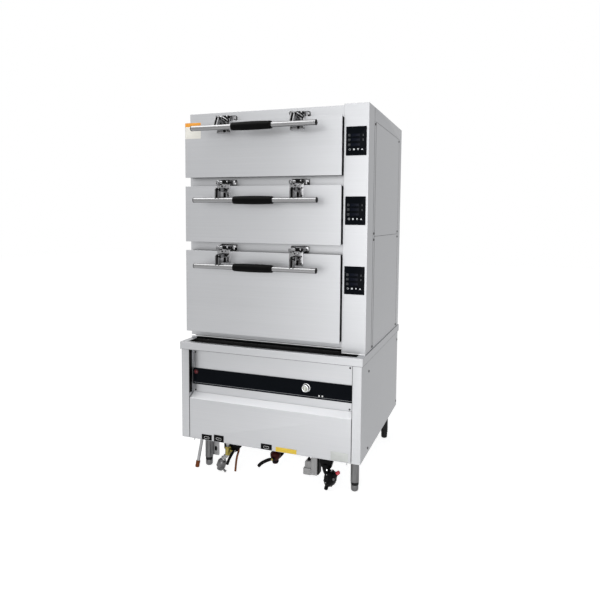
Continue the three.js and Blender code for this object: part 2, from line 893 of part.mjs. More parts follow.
// Door panel: the front skin with a short lip, and the inner pan that faces the chamber
function doorPanel(tall) {
  const xs = around(0, doorWidth);
  const skin = sheetBox(xs, [doorFace, doorFace + doorLip], [-tall, 0], sheet, ['back']);
  const panXs = grow(xs, -gasketInset - gasketWidth);
  const panZs = grow([-tall, 0], -gasketInset - gasketWidth);
  const pan = sheetBox(panXs, [doorFace + sheet / 2, doorFace + doorPanDepth], panZs, sheet, ['front']);
  const breather = block(
    around(0, breatherLength),
    around(doorFace + doorPanDepth / 2, breatherWidth),
    [panZs[0] - overrun, panZs[0] + sheet + overrun],
  );
  return cut(join(skin, pan), breather);
}

// Door gasket: a thick black rubber ring between the skin and the frame
function doorGasket(tall) {
  const inset = gasketInset + gap;
  const outer = { xs: grow(around(0, doorWidth), -inset), zs: grow([-tall, 0], -inset) };
  const inner = { xs: grow(outer.xs, -gasketWidth + gap * 2), zs: grow(outer.zs, -gasketWidth + gap * 2) };
  const ys = [doorFace + sheet + gap, frameFace - gap];
  return cut(block(outer.xs, ys, outer.zs), block(inner.xs, grow(ys, overrun), inner.zs));
}

// Hinge bracket: a plate on the frame with two ears that carry the pin
function hingeBracket() {
  const back = frameFace - gap;
  const plateZs = around(pivotUp, bracketHeight);
  const plate = roundedPlate(around(0, bracketWidth), plateZs, [back - bracketThickness, back], leafCorner);
  const earInner = knuckleLength / 2 + earSideGap;
  const earOutline = link([back - bracketThickness / 2 - earRadius, pivotUp], [pivotFace, pivotUp],
    earRadius, earRadius);
  const earRoot = [[back - bracketThickness / 2, pivotUp - earRadius], [back - bracketThickness / 2,
    pivotUp + earRadius]];
  const rootOutline = [[pivotFace, pivotUp - earRadius], earRoot[0], earRoot[1],
    [pivotFace, pivotUp + earRadius]];
  const ears = [[-earInner - earThickness, -earInner], [earInner, earInner + earThickness]]
    .flatMap((span) => [alongX(earOutline, span), alongX(rootOutline, span)]);
  const pinEnd = earInner + earThickness / 2;
  const pin = rod([-pinEnd, pivotFace, pivotUp], [pinEnd, pivotFace, pivotUp], pinRadius, smallSides);
  return join(plate, ...ears, pin);
}

// Door leaf: a plate on the door's face with a knuckle round the pin and a lug for the handle arm
function doorLeaf() {
  const back = doorFace - gap;
  const plateYs = [back - leafThickness, back];
  const plate = roundedPlate(around(0, leafWidth), [-leafDrop - leafHeight, -leafDrop], plateYs, leafCorner);
  const neck = block(
    around(0, knuckleLength),
    plateYs,
    [-leafDrop - leafCorner, pivotUp],
  );
  const knuckle = rod(
    [-knuckleLength / 2, pivotFace, pivotUp],
    [knuckleLength / 2, pivotFace, pivotUp],
    knuckleRadius,
    pipeSides,
  );
  const bore = rod(
    [-knuckleLength / 2 - overrun, pivotFace, pivotUp],
    [knuckleLength / 2 + overrun, pivotFace, pivotUp],
    boreRadius,
    pipeSides,
  );
  const lugX = armThickness / 2 + earSideGap - armShift;
  const lugOutline = link([armPivotFace + armPivotOut + leafThickness / 2, -armPivotDrop],
    [armPivotFace, -armPivotDrop], armHalfWidth, armHalfWidth);
  const lug = cut(
    alongX(lugOutline, [lugX, lugX + lugThickness]),
    block(
      grow([lugX, lugX + lugThickness], overrun),
      [back - leafThickness / 2, doorFace + armEyeRadius],
      around(-armPivotDrop, (armEyeRadius + overrun) * 2),
    ),
  );
  const armPin = rod(
    [lugX + lugThickness / 2, armPivotFace, -armPivotDrop],
    [-armShift - armThickness / 2 - earSideGap, armPivotFace, -armPivotDrop],
    pinRadius,
    smallSides,
  );
  return join(cut(join(plate, neck, knuckle), bore), lug, armPin);
}

// Handle bar: a round bar across two arms; its own origin is on the arm pivots
function handleBar() {
  const barSpan = around(0, barLength);
  const bar = rod([barSpan[0], -barOut, -barDrop], [barSpan[1], -barOut, -barDrop], barRadius, pipeSides);
  const outline = link([0, 0], [-barOut, -barDrop], armEyeRadius, armHalfWidth);
  const arms = [-1, 1].map((side) => {
    const centre = (side * hingeSpacing) / 2 - armShift;
    return cut(
      alongX(outline, around(centre, armThickness)),
      rod([centre - armThickness, 0, 0], [centre + armThickness, 0, 0], boreRadius, pipeSides),
    );
  });
  const bore = rod(
    [barSpan[0] - overrun, -barOut, -barDrop],
    [barSpan[1] + overrun, -barOut, -barDrop],
    barRadius - barWall,
    pipeSides,
  );
  return cut(join(bar, ...arms), bore);
}

// Grip: a rubber barrel round the middle of the bar, a little fuller at its waist
function handleGrip() {
  const rings = 4;
  const outside = Array.from({ length: rings + 1 }, (_, step) => {
    const share = step / rings;
    return [gripRadius + gripBulge * Math.sin(Math.PI * share), gripLength * (share - 0.5)];
  });
  const closed = [[gripBore, -gripLength / 2], ...outside, [gripBore, gripLength / 2],
    [gripBore, -gripLength / 2]];
  return turned(closed, pipeSides).rotateZ(-Math.PI / 2).translate(0, -barOut, -barDrop);
}

// Overflow pipe: a thin plastic pipe from a collar under the casing's floor, leaning out as it goes down
function overflowPipe() {
  const x = -width / 2 + overflowFromLeft;
  const collarEnd = [x, overflowFromFront, floorSeat - overflowCollar];
  const collar = rod([x, overflowFromFront, floorSeat], collarEnd, overflowRadius + sheet, pipeSides);
  const foot = [x - overflowLean, overflowFromFront, overflowClearance];
  const pipe = rod(
    [x, overflowFromFront, floorSeat - overflowCollar / 2],
    foot,
    overflowRadius,
    smallSides,
  );
  return join(collar, pipe);
}

// How high the drain valve's stem lies
function drainStemUp() {
  return casingBottom - drainBodyDrop - drainBodyHeight / 2;
}

// Drain valve: a brass ball valve under the boiler's drain, with a spout turned to the front
function drainValve() {
  const x = -width / 2 + drainFromLeft;
  const y = drainFromFront;
  const bodyTop = casingBottom - drainBodyDrop;
  const bodyBottom = bodyTop - drainBodyHeight;
  const pipe = rod([x, y, floorSeat], [x, y, bodyBottom], drainPipeRadius, pipeSides);
  const body = rod([x, y, bodyTop], [x, y, bodyBottom], drainBodyRadius, hexSides);
  const stem = rod(
    [x, y, drainStemUp()],
    [x + drainBodyRadius + stemLength, y, drainStemUp()],
    stemRadius,
    smallSides,
  );
  const spoutEnd = [x - spoutLeft, y - spoutForward];
  const spoutRoot = [(x + spoutEnd[0]) / 2, (y + spoutEnd[1]) / 2];
  const neck = rod(
    [x, y, bodyBottom + drainPipeRadius],
    [...spoutRoot, spoutRootUp - spoutNeckRadius / 2],
    spoutNeckRadius,
    pipeSides,
  );
  const bell = rod(
    [...spoutRoot, spoutRootUp],
    [...spoutEnd, spoutClearance],
    spoutRadius,
    pipeSides,
    spoutRadius * spoutMouthShare,
  );
  return join(pipe, body, stem, neck, bell);
}

// Ball-valve lever outline about its stem: out flat, then cranked down to a blunt end
function leverOutline(out, down) {
  const bends = leverBendShares.map(([outShare, downShare]) => [-out * outShare, -down * downShare]);
  return strap([[0, leverHalfWidth], [0, 0], ...bends, [-out, -down]], leverHalfWidth);
}

// Gas cock: a tapered plug cock on the gas line, with its stem towards the front
function gasCock() {
  const x = cockFromMiddle;
  const y = cockFromFront;
  const bodyTop = casingBottom - cockDrop;
  const stemUp = casingBottom - cockStemDrop;
  const pipe = rod([x, y, floorSeat], [x, y, bodyTop - cockHeight / 2], cockPipeRadius, pipeSides);
  const body = rod([x, y, bodyTop], [x, y, bodyTop - cockHeight], cockRadius, pipeSides, cockWaistRadius);
  const stem = rod([x, y, stemUp], [x, y - cockRadius - stemLength, stemUp], stemRadius, smallSides);
  return join(pipe, body, stem);
}

// Solenoid valve: a gas valve block with its coil housing and its foot beside it
function gasSolenoid() {
  const x = width / 2 - solenoidFromRight;
  const ys = around(solenoidFromFront, solenoidDepth);
  const left = x - solenoidWidth / 2;
  const coilTop = casingBottom - coilDrop;
  const coilBottom = coilTop - coilHeight;
  const main = block(around(x, solenoidWidth), ys, [casingBottom - solenoidHeight, floorSeat]);
  const coil = block([left - coilWidth, left + overrun], grow(ys, -coilBevel / 2), [coilBottom, coilTop]);
  const foot = block([left - coilWidth - coilBevel, left], ys, [coilBottom, coilBottom + coilHeight / 2]);
  return join(main, coil, foot);
}

// Where the regulator's disc stands, and the way its axis points: at the user, turned a little
function regulatorFrame() {
  const centre = new THREE.Vector3(
    width / 2 - regulatorFromRight,
    regulatorFromFront,
    casingBottom - regulatorDrop,
  );
  const axis = new THREE.Vector3(
    Math.sin(regulatorTurnAngle) * Math.cos(regulatorTiltAngle),
    -Math.cos(regulatorTurnAngle) * Math.cos(regulatorTiltAngle),
    Math.sin(regulatorTiltAngle),
  );
  return { centre, axis };
}

// Gas regulator: a domed disc on the inlet pipe, with a hose stub below and a boss for its knob
function gasRegulator() {
  const { centre, axis } = regulatorFrame();
  const half = regulatorThickness / 2;
  const rim = regulatorDiscShares.map(([out, along]) => [regulatorRadius * out, half * along]);
  const disc = turned([[0, -half], ...rim, [0, half]], broadSides);
  const turn = new THREE.Quaternion().setFromUnitVectors(new THREE.Vector3(0, 1, 0), axis);
  disc.applyQuaternion(turn).translate(...centre.toArray());
  const inlet = [width / 2 - inletPipeFromRight, inletPipeFromFront];
  const nut = rod([...inlet, floorSeat], [...inlet, floorSeat - inletNutHeight], inletNutRadius, hexSides);
  const bend = [...inlet, centre.z + regulatorRadius];
  const pipe = rod([...inlet, floorSeat - inletNutHeight / 2], bend, inletPipeRadius, pipeSides);
  const drop = rod(bend, centre.toArray(), inletPipeRadius, pipeSides);
  const stubEnd = [width / 2 - hoseStubFromRight, regulatorFromFront, hoseStubClearance];
  const stub = rod(centre.toArray(), stubEnd, hoseStubRadius, pipeSides);
  const boss = rod(centre.toArray(), knobSeat().toArray(), redKnobBossRadius, pipeSides);
  return join(nut, pipe, drop, disc, stub, boss);
}

function knobDirection() {
  return new THREE.Vector3(Math.cos(redKnobAngle), 0, Math.sin(redKnobAngle));
}

function knobSeat() {
  return regulatorFrame().centre.add(knobDirection().multiplyScalar(regulatorRadius + gap));
}

// Regulator knob: a small red knob on the regulator's shoulder
function regulatorKnob() {
  const seat = knobSeat().add(knobDirection().multiplyScalar(gap));
  const end = seat.clone().add(knobDirection().multiplyScalar(redKnobLength));
  return rod(seat.toArray(), end.toArray(), redKnobRadius, pipeSides, redKnobEndRadius);
}

// Base
add(steamer, 'base_casing', baseCasing(), steel);
add(steamer, 'deck', deck(), steel);
add(steamer, 'front_fascia', fascia(), steel);
add(steamer, 'control_strip', controlStrip(), blackGlass);
add(steamer, 'lower_panel', lowerPanel(), steel);
const knob = add(steamer, 'gas_knob', gasKnob(), polished);
knob.position.set(width / 2 - knobFromRight, recessFace - gap - stripThickness, knobUp);
const lamp = add(steamer, 'pilot_lamp', pilotLamp(), redLens);
lamp.position.set(-width / 2 + lampFromLeft, recessFace - gap - stripThickness, lampUp);
const legXs = { left: -width / 2 + legFromLeft, right: width / 2 - legFromRight };
const legYs = { front: legFromFront, back: depth - legFromBack };
for (const [end, y] of Object.entries(legYs)) {
  for (const [side, x] of Object.entries(legXs)) {
    add(steamer, `leg_${end}_${side}`, leg(), castSteel).position.set(x, y, 0);
  }
}
add(steamer, 'boiler', boiler(), linerSteel);
add(steamer, 'burner', burner(), castIron);

// Fittings under the base
add(steamer, 'overflow_pipe', overflowPipe(), greyPlastic);
add(steamer, 'drain_valve', drainValve(), brass);
const drainLever = add(
  steamer,
  'drain_lever',
  alongX(leverOutline(drainLeverOut, drainLeverDown), [gap, gap + leverThickness]),
  blackPaint,
);
drainLever.position.set(
  -width / 2 + drainFromLeft + drainBodyRadius + stemLength,
  drainFromFront,
  drainStemUp(),
);
add(steamer, 'gas_cock', gasCock(), brass);
const cockLever = add(
  steamer,
  'gas_cock_lever',
  alongX(leverOutline(cockLeverOut, cockLeverDown), [gap, gap + leverThickness]).rotateZ(-Math.PI / 2),
  blackPaint,
);
cockLever.position.set(
  cockFromMiddle,
  cockFromFront - cockRadius - stemLength,
  casingBottom - cockStemDrop,
);
add(steamer, 'gas_solenoid', gasSolenoid(), greyCoil);
add(steamer, 'gas_regulator', gasRegulator(), blackPaint);
add(steamer, 'regulator_knob', regulatorKnob(), redPlastic);

// Upper cabinet
add(steamer, 'cabinet_shell', cabinetShell(), steel);
add(steamer, 'side_panel_upper', sidePanel([sideSeam + gap, height - topStrip - gap]), steel);
add(steamer, 'side_panel_lower', sidePanel([cabinetBottom, sideSeam - gap]), steel);
add(steamer, 'front_frame', frontFrame(), steel);
add(steamer, 'control_column', controlColumn(), steel);
add(steamer, 'steam_riser', steamRiser(), linerSteel);

// Each chamber with its rack, display and door
doorHeights.forEach((tall, index) => {
  const number = index + 1;
  add(steamer, `steam_chamber_${number}`, steamChamber(index), linerSteel);
  add(steamer, `steam_rack_${number}`, rack(index), linerSteel);
  add(steamer, `display_${number}`, display(index), blackGlass);
  const door = new THREE.Group();
  door.position.set(doorCentre, 0, doorTops[index]);
  steamer.add(door);
  add(door, `door_${number}_panel`, doorPanel(tall), steel);
  add(door, `door_${number}_gasket`, doorGasket(tall), blackRubber);
  for (const [side, sign] of [['left', -1], ['right', 1]]) {
    const x = (sign * hingeSpacing) / 2;
    add(door, `door_${number}_hinge_${side}`, hingeBracket(), castSteel).position.x = x;
    add(door, `door_${number}_leaf_${side}`, doorLeaf(), castSteel).position.x = x;
  }
  const handle = new THREE.Group();
  handle.position.set(0, armPivotFace, -armPivotDrop);
  handle.rotation.x = -THREE.MathUtils.degToRad(handleRaiseDegrees[index]);
  door.add(handle);
  add(handle, `door_${number}_handle`, handleBar(), polished);
  add(handle, `door_${number}_grip`, handleGrip(), blackRubber);
});

export default steamer;
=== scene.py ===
import json
import math

import bmesh
import bpy
import numpy as np
from mathutils import Matrix, Vector

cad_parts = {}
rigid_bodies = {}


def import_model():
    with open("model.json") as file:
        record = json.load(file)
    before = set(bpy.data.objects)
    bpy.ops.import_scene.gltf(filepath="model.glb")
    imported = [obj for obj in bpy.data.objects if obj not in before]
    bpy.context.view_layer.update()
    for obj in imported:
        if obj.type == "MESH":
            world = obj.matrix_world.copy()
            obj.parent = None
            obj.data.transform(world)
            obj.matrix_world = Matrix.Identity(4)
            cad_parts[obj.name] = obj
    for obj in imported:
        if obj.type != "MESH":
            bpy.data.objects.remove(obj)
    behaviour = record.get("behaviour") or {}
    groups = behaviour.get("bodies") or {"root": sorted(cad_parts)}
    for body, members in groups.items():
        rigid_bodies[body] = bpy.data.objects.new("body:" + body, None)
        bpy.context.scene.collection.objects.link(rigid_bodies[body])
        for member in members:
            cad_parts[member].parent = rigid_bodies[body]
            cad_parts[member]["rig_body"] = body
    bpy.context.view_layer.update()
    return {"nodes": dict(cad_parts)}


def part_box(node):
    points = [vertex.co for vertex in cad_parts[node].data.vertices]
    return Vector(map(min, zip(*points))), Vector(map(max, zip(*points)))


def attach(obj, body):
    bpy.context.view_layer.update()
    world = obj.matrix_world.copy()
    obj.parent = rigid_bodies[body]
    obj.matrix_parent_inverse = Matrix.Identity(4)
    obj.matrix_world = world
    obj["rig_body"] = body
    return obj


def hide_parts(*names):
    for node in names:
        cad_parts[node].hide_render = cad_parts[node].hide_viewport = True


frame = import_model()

scene = bpy.context.scene


# Camera. A three-door gas steaming cabinet on its boiler base is seen from the right of its front,
# from chest height; the camera looks a little down and leans by half a degree.
eye = (1.105, -2.790, 1.350)
yaw, pitch, lean = np.radians([18.72, 4.154, 0.614])
ahead = np.array([-math.sin(yaw) * math.cos(pitch), math.cos(yaw) * math.cos(pitch), -math.sin(pitch)])
level = np.array([math.cos(yaw), math.sin(yaw), 0.0])
upright = np.cross(level, ahead)
axes = np.stack([
    level * math.cos(lean) + upright * math.sin(lean),
    upright * math.cos(lean) - level * math.sin(lean),
    -ahead,
], 1)
view = bpy.data.cameras.new("view")
view.lens = 31.67
view.shift_x, view.shift_y = -0.04, -0.07
camera = bpy.data.objects.new("view", view)
scene.collection.objects.link(camera)
camera.matrix_world = Matrix.Translation(eye) @ Matrix(axes.tolist()).to_4x4()
scene.camera = camera


# Studio. A white floor that fades into a white surround, a broad soft lamp before the doors, a
# weaker one high on the left and a small one over the ground in front.
class Strand:
    """A socket of a node tree. Another one, or a number, can be added, subtracted or multiplied."""

    def __init__(self, tree, socket=None):
        self.tree = tree
        self.socket = socket

    def node(self, kind, values=None, out=0, **settings):
        """Adds a node: first its settings, then its sockets' values or links."""
        made = self.tree.nodes.new("ShaderNode" + kind)
        for setting, value in settings.items():
            setattr(made, setting, value)
        self.feed(made, values or {})
        return Strand(self.tree, made.outputs[out] if made.outputs else None)

    def feed(self, node, values):
        for socket, value in values.items():
            if isinstance(value, Strand):
                self.tree.links.new(value.socket, node.inputs[socket])
            else:
                node.inputs[socket].default_value = value

    def sum(self, operation, first, second, clamp=False):
        return self.node("Math", {0: first, 1: second}, operation=operation, use_clamp=clamp)

    def __add__(self, other):
        return self.sum("ADD", self, other)

    def __sub__(self, other):
        return self.sum("SUBTRACT", self, other)

    def __mul__(self, other):
        return self.sum("MULTIPLY", self, other)

    def scaled(self, scale, shift=(0, 0, 0)):
        """This place, scaled along each axis, or by one number along all, and then shifted."""
        scale = np.broadcast_to(scale, 3).tolist()
        return self.node("Mapping", {"Vector": self, "Location": shift, "Scale": scale})

    def noise(self, scale, detail, **more):
        """Cloudy noise from 0 to 1, read at this place."""
        return self.node("TexNoise", {"Vector": self, "Scale": scale, "Detail": detail, **more}, out="Fac")

    def blend(self, first, second):
        """A colour between two, by this strand's share of the second. One number stands for a grey."""
        first, second = ((*np.broadcast_to(colour, 3).tolist(), 1) for colour in (first, second))
        return self.node("Mix", {0: self, 6: first, 7: second}, out=2, data_type="RGBA")

    def bump(self, strength, distance):
        """A normal dented by this height."""
        return self.node("Bump", {"Height": self, "Strength": strength, "Distance": distance})


def knit(name, grids, material, slot=None, body="cabinet", wrap=(True, False), crease=30, hides=None):
    """One mesh from an array of grids x rows x columns x 3 points.
    Four neighbouring points make a face. Where wrap is true the last row or column meets the first.
    Points that fall together are merged and the faces turned outwards."""
    grids = np.asarray(grids, float)
    many, rows, columns = grids.shape[:3]
    row, column = np.meshgrid(
        np.arange(rows - 1 + wrap[0]), np.arange(columns - 1 + wrap[1]), indexing="ij")
    below, beside = (row + 1) % rows, (column + 1) % columns
    corners = [(row, column), (row, beside), (below, beside), (below, column)]
    quads = np.stack([r * columns + c for r, c in corners], -1).reshape(-1, 4)
    quads = (quads[None] + rows * columns * np.arange(many)[:, None, None]).reshape(-1, 4)
    mesh = bpy.data.meshes.new(name)
    mesh.from_pydata(grids.reshape(-1, 3).tolist(), [], quads.tolist())
    shell = bmesh.new()
    shell.from_mesh(mesh)
    bmesh.ops.remove_doubles(shell, verts=shell.verts, dist=1e-6)
    bmesh.ops.recalc_face_normals(shell, faces=shell.faces)
    shell.to_mesh(mesh)
    shell.free()
    mesh.shade_smooth()
    mesh.set_sharp_from_angle(angle=math.radians(crease))
    mesh.materials.append(material)
    piece = bpy.data.objects.new(name, mesh)
    scene.collection.objects.link(piece)
    if body:
        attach(piece, body)
    if hides:
        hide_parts(hides)
    return piece


def seen(tree):
    """1 for a ray that the camera, a gloss or a glass sends out, else 0."""
    rays = [Strand(tree).node("LightPath", out=ray)
            for ray in ("Is Camera Ray", "Is Glossy Ray", "Is Transmission Ray")]
    return rays[0].sum("ADD", rays[0] + rays[1], rays[2], clamp=True)


reach = 14.0
paper = bpy.data.materials.new("white_floor")
paper.use_nodes = True
paper.node_tree.nodes.clear()
sweep = Strand(paper.node_tree)
fleck = sweep.node("TexCoord", out="Object").scaled(0.5 / reach, (0.5, 0.5, 0.5)).noise(3.0, 2.0)
matt = sweep.node("BsdfDiffuse", {"Color": fleck.blend(0.53, 0.57)})
glow = sweep.node("Emission", {"Strength": seen(paper.node_tree) * 0.8})
both = sweep.node("AddShader", {0: matt, 1: glow})
sweep.node("OutputMaterial", {"Surface": both})
across = np.linspace(-reach, reach, 3)
ground = np.stack(np.meshgrid(across, across, [-0.0005], indexing="ij"), -1).reshape(1, 3, 3, 3)
floor = knit("floor", ground, paper, body=None, wrap=(False, False))

world = bpy.data.worlds.new("surround")
world.use_nodes = True
scene.world = world
surround = Strand(world.node_tree)
shown = seen(world.node_tree)
surround.feed(world.node_tree.nodes["Background"], {"Color": (1, 1, 1, 1), "Strength": shown * 0.62 + 0.38})

for name, place, aim, wide, tall, spread, watts in (
        ("front_lamp", (1.0, -4.4, 1.5), (1.0, 0.0, 1.5), 3.0, 3.0, 180, 78),
        ("overhead_lamp", (-1.1, -1.15, 3.3), (-0.7, -0.7, 1.4), 2.6, 1.4, 180, 40),
        ("floor_lamp", (0.42, -1.55, 2.7), (0.42, -1.55, 0.0), 0.8, 1.0, 55, 8)):
    lamp = bpy.data.lights.new(name, "AREA")
    lamp.shape = "RECTANGLE"
    lamp.size, lamp.size_y = wide, tall
    lamp.energy = watts
    lamp.spread = math.radians(spread)
    lit = bpy.data.objects.new(name, lamp)
    scene.collection.objects.link(lit)
    towards = Vector(np.subtract(aim, place)).to_track_quat("-Z", "Y")
    lit.matrix_world = Matrix.Translation(place) @ towards.to_matrix().to_4x4()
scene.view_settings.view_transform = "Standard"


# Base casing, deck and fascia. Folded and welded stainless sheet, brushed along its length, with
# tight rounded folds; inside the drip gutter in the deck's rolled rim the sheet is drawn near black, painted
# shade for its deep channel.
def blank(name, **fixed):
    """A material whose fixed numbers are set on the shader's own sockets."""
    material = bpy.data.materials.new(name)
    material.use_nodes = True
    shader = material.node_tree.nodes["Principled BSDF"]
    for socket, value in fixed.items():
        shader.inputs[socket.replace("_", " ")].default_value = value
    tree = Strand(material.node_tree)
    return material, tree, shader, tree.node("TexCoord", out="Object")


def brushed(name, dark, light, rough, grain=(1.5, 1.5, 420), relief=0.12):
    """Brushed sheet. Noise squeezed across the brushing makes streaks, a second, finer one the
    scratches, and wide clouds shade the tone; streaks shift the roughness too."""
    material, tree, shader, place = blank(name, Metallic=1.0)
    streak = place.scaled(grain).noise(1.0, 2.0)
    scratch = place.scaled(np.multiply(grain, 3.1)).noise(1.0, 1.0)
    cloud = place.noise(1.7, 2.0)
    share = streak * 0.55 + scratch * 0.25 + cloud * 0.4 - 0.1
    tree.feed(shader, {
        "Base Color": share.blend(dark, light),
        "Roughness": streak * 0.1 + cloud * 0.06 + (rough - 0.08),
        "Normal": (streak * 0.6 + scratch * 0.4).bump(relief, 0.0004),
    })
    return material


def softened(node, material, width, others=()):
    """A copy of a solid whose folds are rounded.
    Doubled corners are merged and flat neighbours cut into well-shaped triangles. Each edge that turns
    by over 33 degrees gets a bevel of the width, or of 0.3 of the height of its lower triangle if that
    is less: the height is twice the area over the edge. `others` are materials, each with what picks
    its faces by their middles and normals."""
    sharp = math.radians(33)
    source = frame["nodes"][node]
    mesh = source.data.copy()
    mesh.name = node + "_sheet"
    shell = bmesh.new()
    shell.from_mesh(mesh)
    bmesh.ops.remove_doubles(shell, verts=shell.verts, dist=2e-6)
    bmesh.ops.dissolve_limit(shell, angle_limit=0.01, verts=shell.verts, edges=shell.edges)
    bmesh.ops.triangulate(shell, faces=shell.faces, quad_method="BEAUTY", ngon_method="BEAUTY")
    shell.to_mesh(mesh)
    shell.free()

    def read(items, field, kind, size=1):
        values = np.zeros(len(items) * size, kind)
        items.foreach_get(field, values)
        return values.reshape(-1, size) if size > 1 else values

    points = read(mesh.vertices, "co", float, 3)
    ends = read(mesh.edges, "vertices", int, 2)
    length = np.linalg.norm(points[ends[:, 0]] - points[ends[:, 1]], axis=1)
    of_edge = read(mesh.loops, "edge_index", int)
    of_face = np.repeat(np.arange(len(mesh.polygons)), read(mesh.polygons, "loop_total", int))
    normal = read(mesh.polygons, "normal", float, 3)
    middle = read(mesh.polygons, "center", float, 3)
    area = read(mesh.polygons, "area", float)
    narrow = np.full(len(length), 1e9)
    np.minimum.at(narrow, of_edge, 2 * area[of_face] / np.maximum(length[of_edge], 1e-9))
    leaning = np.zeros((len(length), 3))
    np.add.at(leaning, of_edge, normal[of_face])
    turn = 2 * np.arccos(np.clip(np.linalg.norm(leaning, axis=1) / 2, 0, 1))
    share = np.where(turn > sharp, np.minimum(1, 0.3 * narrow / width), 0)
    weight = mesh.attributes.new("bevel_weight_edge", "FLOAT", "EDGE")
    weight.data.foreach_set("value", share.astype(np.float32))
    mesh.shade_smooth()
    mesh.set_sharp_from_angle(angle=sharp)
    mesh.materials.clear()
    mesh.materials.append(material)
    finish = np.zeros(len(middle), np.int32)
    for place, (other, picks) in enumerate(others, 1):
        mesh.materials.append(other)
        finish[picks(middle, normal)] = place
    mesh.polygons.foreach_set("material_index", finish)
    piece = bpy.data.objects.new(node + "_sheet", mesh)
    scene.collection.objects.link(piece)
    fold = piece.modifiers.new("folds", "BEVEL")
    fold.width = width
    fold.segments = 2
    fold.limit_method = "WEIGHT"
    fold.use_clamp_overlap = False
    fold.harden_normals = True
    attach(piece, source["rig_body"])
    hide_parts(node)
    return piece


sheet_steel = brushed("brushed_sheet", (0.39, 0.395, 0.405), (0.49, 0.495, 0.51), 0.42)
# A darker copy of the front sheet, with a coarser and rougher grain: the darker tone is painted shade for
# faces turned away from the lamps.
shaded_side_steel = brushed("shaded_side_sheet", (0.32, 0.325, 0.335), (0.42, 0.425, 0.44), 0.46,
                     (1.5, 1.5, 260), 0.08)
# Near black with a faint mottle: painted shade inside the deck's drip gutter.
gutter_painted_shade, tree, shader, place = blank("gutter_painted_shade", Specular_IOR_Level=0.25)
gutter_shade_mottle = place.noise(60.0, 4.0)
tree.feed(shader, {
    "Base Color": gutter_shade_mottle.blend(0.004, (0.02, 0.02, 0.021)),
    "Roughness": gutter_shade_mottle * 0.3 + 0.25,
    "Normal": gutter_shade_mottle.bump(0.2, 0.001),
})
deck_low, deck_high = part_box("deck")
deck_front, deck_top = deck_low[1], deck_high[2]
gutter_half = 0.4625
gutter_front, gutter_back = deck_front + 0.0235, deck_front + 0.1005
gutter_floor, gutter_brim = deck_top - 0.0285, deck_top - 0.001


# Faces turned to the sides, which get the darker sheet as painted shade.
def facing_sideways(middle, normal):
    return abs(normal[:, 0]) > 0.75


# The faces inside the drip gutter, which get the painted shade.
def inside_gutter(middle, normal):
    x, y, z = middle.T
    return ((abs(x) < gutter_half) & (y > gutter_front) & (y < gutter_back)
            & (z > gutter_floor) & (z < gutter_brim))


shaded_side_faces = (shaded_side_steel, facing_sideways)
softened("deck", sheet_steel, 0.0015, [shaded_side_faces, (gutter_painted_shade, inside_gutter)])
softened("base_casing", sheet_steel, 0.0016, [shaded_side_faces])
softened("front_fascia", sheet_steel, 0.0012)


# Control strip. A bar of black toughened glass on the fascia, with a pale trim line near its foot,
# a chromed gas knob, two white indicator lights and a red pilot lamp.
forward, upward, downward, rightward = (0, -1, 0), (0, 0, 1), (0, 0, -1), (1, 0, 0)
panel_glass, tree, shader, place = blank("strip_glass", IOR=1.4, Specular_IOR_Level=0.025)
smear = place.noise(9.0, 5.0, Distortion=0.8)
tree.feed(shader, {
    "Base Color": smear.blend((0.0022, 0.003, 0.0045), (0.0045, 0.0058, 0.008)),
    "Roughness": smear * 0.12 + 0.05,
})


def enamel(name, dark, light, rough, scale=90, relief=0.1, shine=0.5, **fixed):
    """Paint, plastic or rubber: fine noise between two near tones, which roughens and dents it too.
    `shine` is the shader's specular level."""
    material, tree, shader, place = blank(name, Specular_IOR_Level=shine, **fixed)
    grain = place.noise(scale * 8, 2.0)
    cloud = place.noise(scale, 3.0)
    tree.feed(shader, {
        "Base Color": (cloud * 0.7 + grain * 0.3).blend(dark, light),
        "Roughness": cloud * 0.12 + (rough - 0.06),
        "Normal": grain.bump(relief, 0.0003),
    })
    return material


def middle_of(node, y=None):
    """The middle of a solid's box, or the point before or behind it at depth y."""
    middle = np.array(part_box(node)).mean(0)
    return middle if y is None else np.array([middle[0], y, middle[2]])


def spin(name, material, slot, profile, starts, along=forward, sides=32, flats=0, lobes=None, **more):
    """Turned pieces, from a profile of radii and heights in millimetres. A point at step k and angle a
    lies at start + height_k x along + radius_k x (cos a x across + sin a x beside). With flats, the
    radius is no more than that of a hexagon of this half width: flats / cos(a mod 60 degrees - 30
    degrees). With lobes, a number and a depth, it grows by depth x cos(number x a). A profile that
    starts off the axis is closed into a ring."""
    radius, height = np.array(profile, float).T / 1000
    starts = np.atleast_2d(starts).astype(float)
    along = np.array(along, float) / np.linalg.norm(along)
    across = np.cross(along, (0.0, 0.0, 1.0) if abs(along[2]) < 0.9 else (0.0, 1.0, 0.0))
    across /= np.linalg.norm(across)
    beside = np.cross(along, across)
    angle = np.arange(sides) * 2 * math.pi / sides
    ring = np.cos(angle)[:, None] * across + np.sin(angle)[:, None] * beside
    reach = np.broadcast_to(radius, (sides, len(radius)))
    if flats:
        reach = np.minimum(reach, (flats / 1000 / np.cos(angle % (math.pi / 3) - math.pi / 6))[:, None])
    if lobes:
        reach = reach * (1 + lobes[1] * np.cos(lobes[0] * angle))[:, None]
    wall = reach[:, :, None] * ring[:, None, :] + height[None, :, None] * along
    grid = starts[:, None, None, :] + wall[None]
    return knit(name, grid, material, slot, wrap=(True, radius[0] > 0), **more)


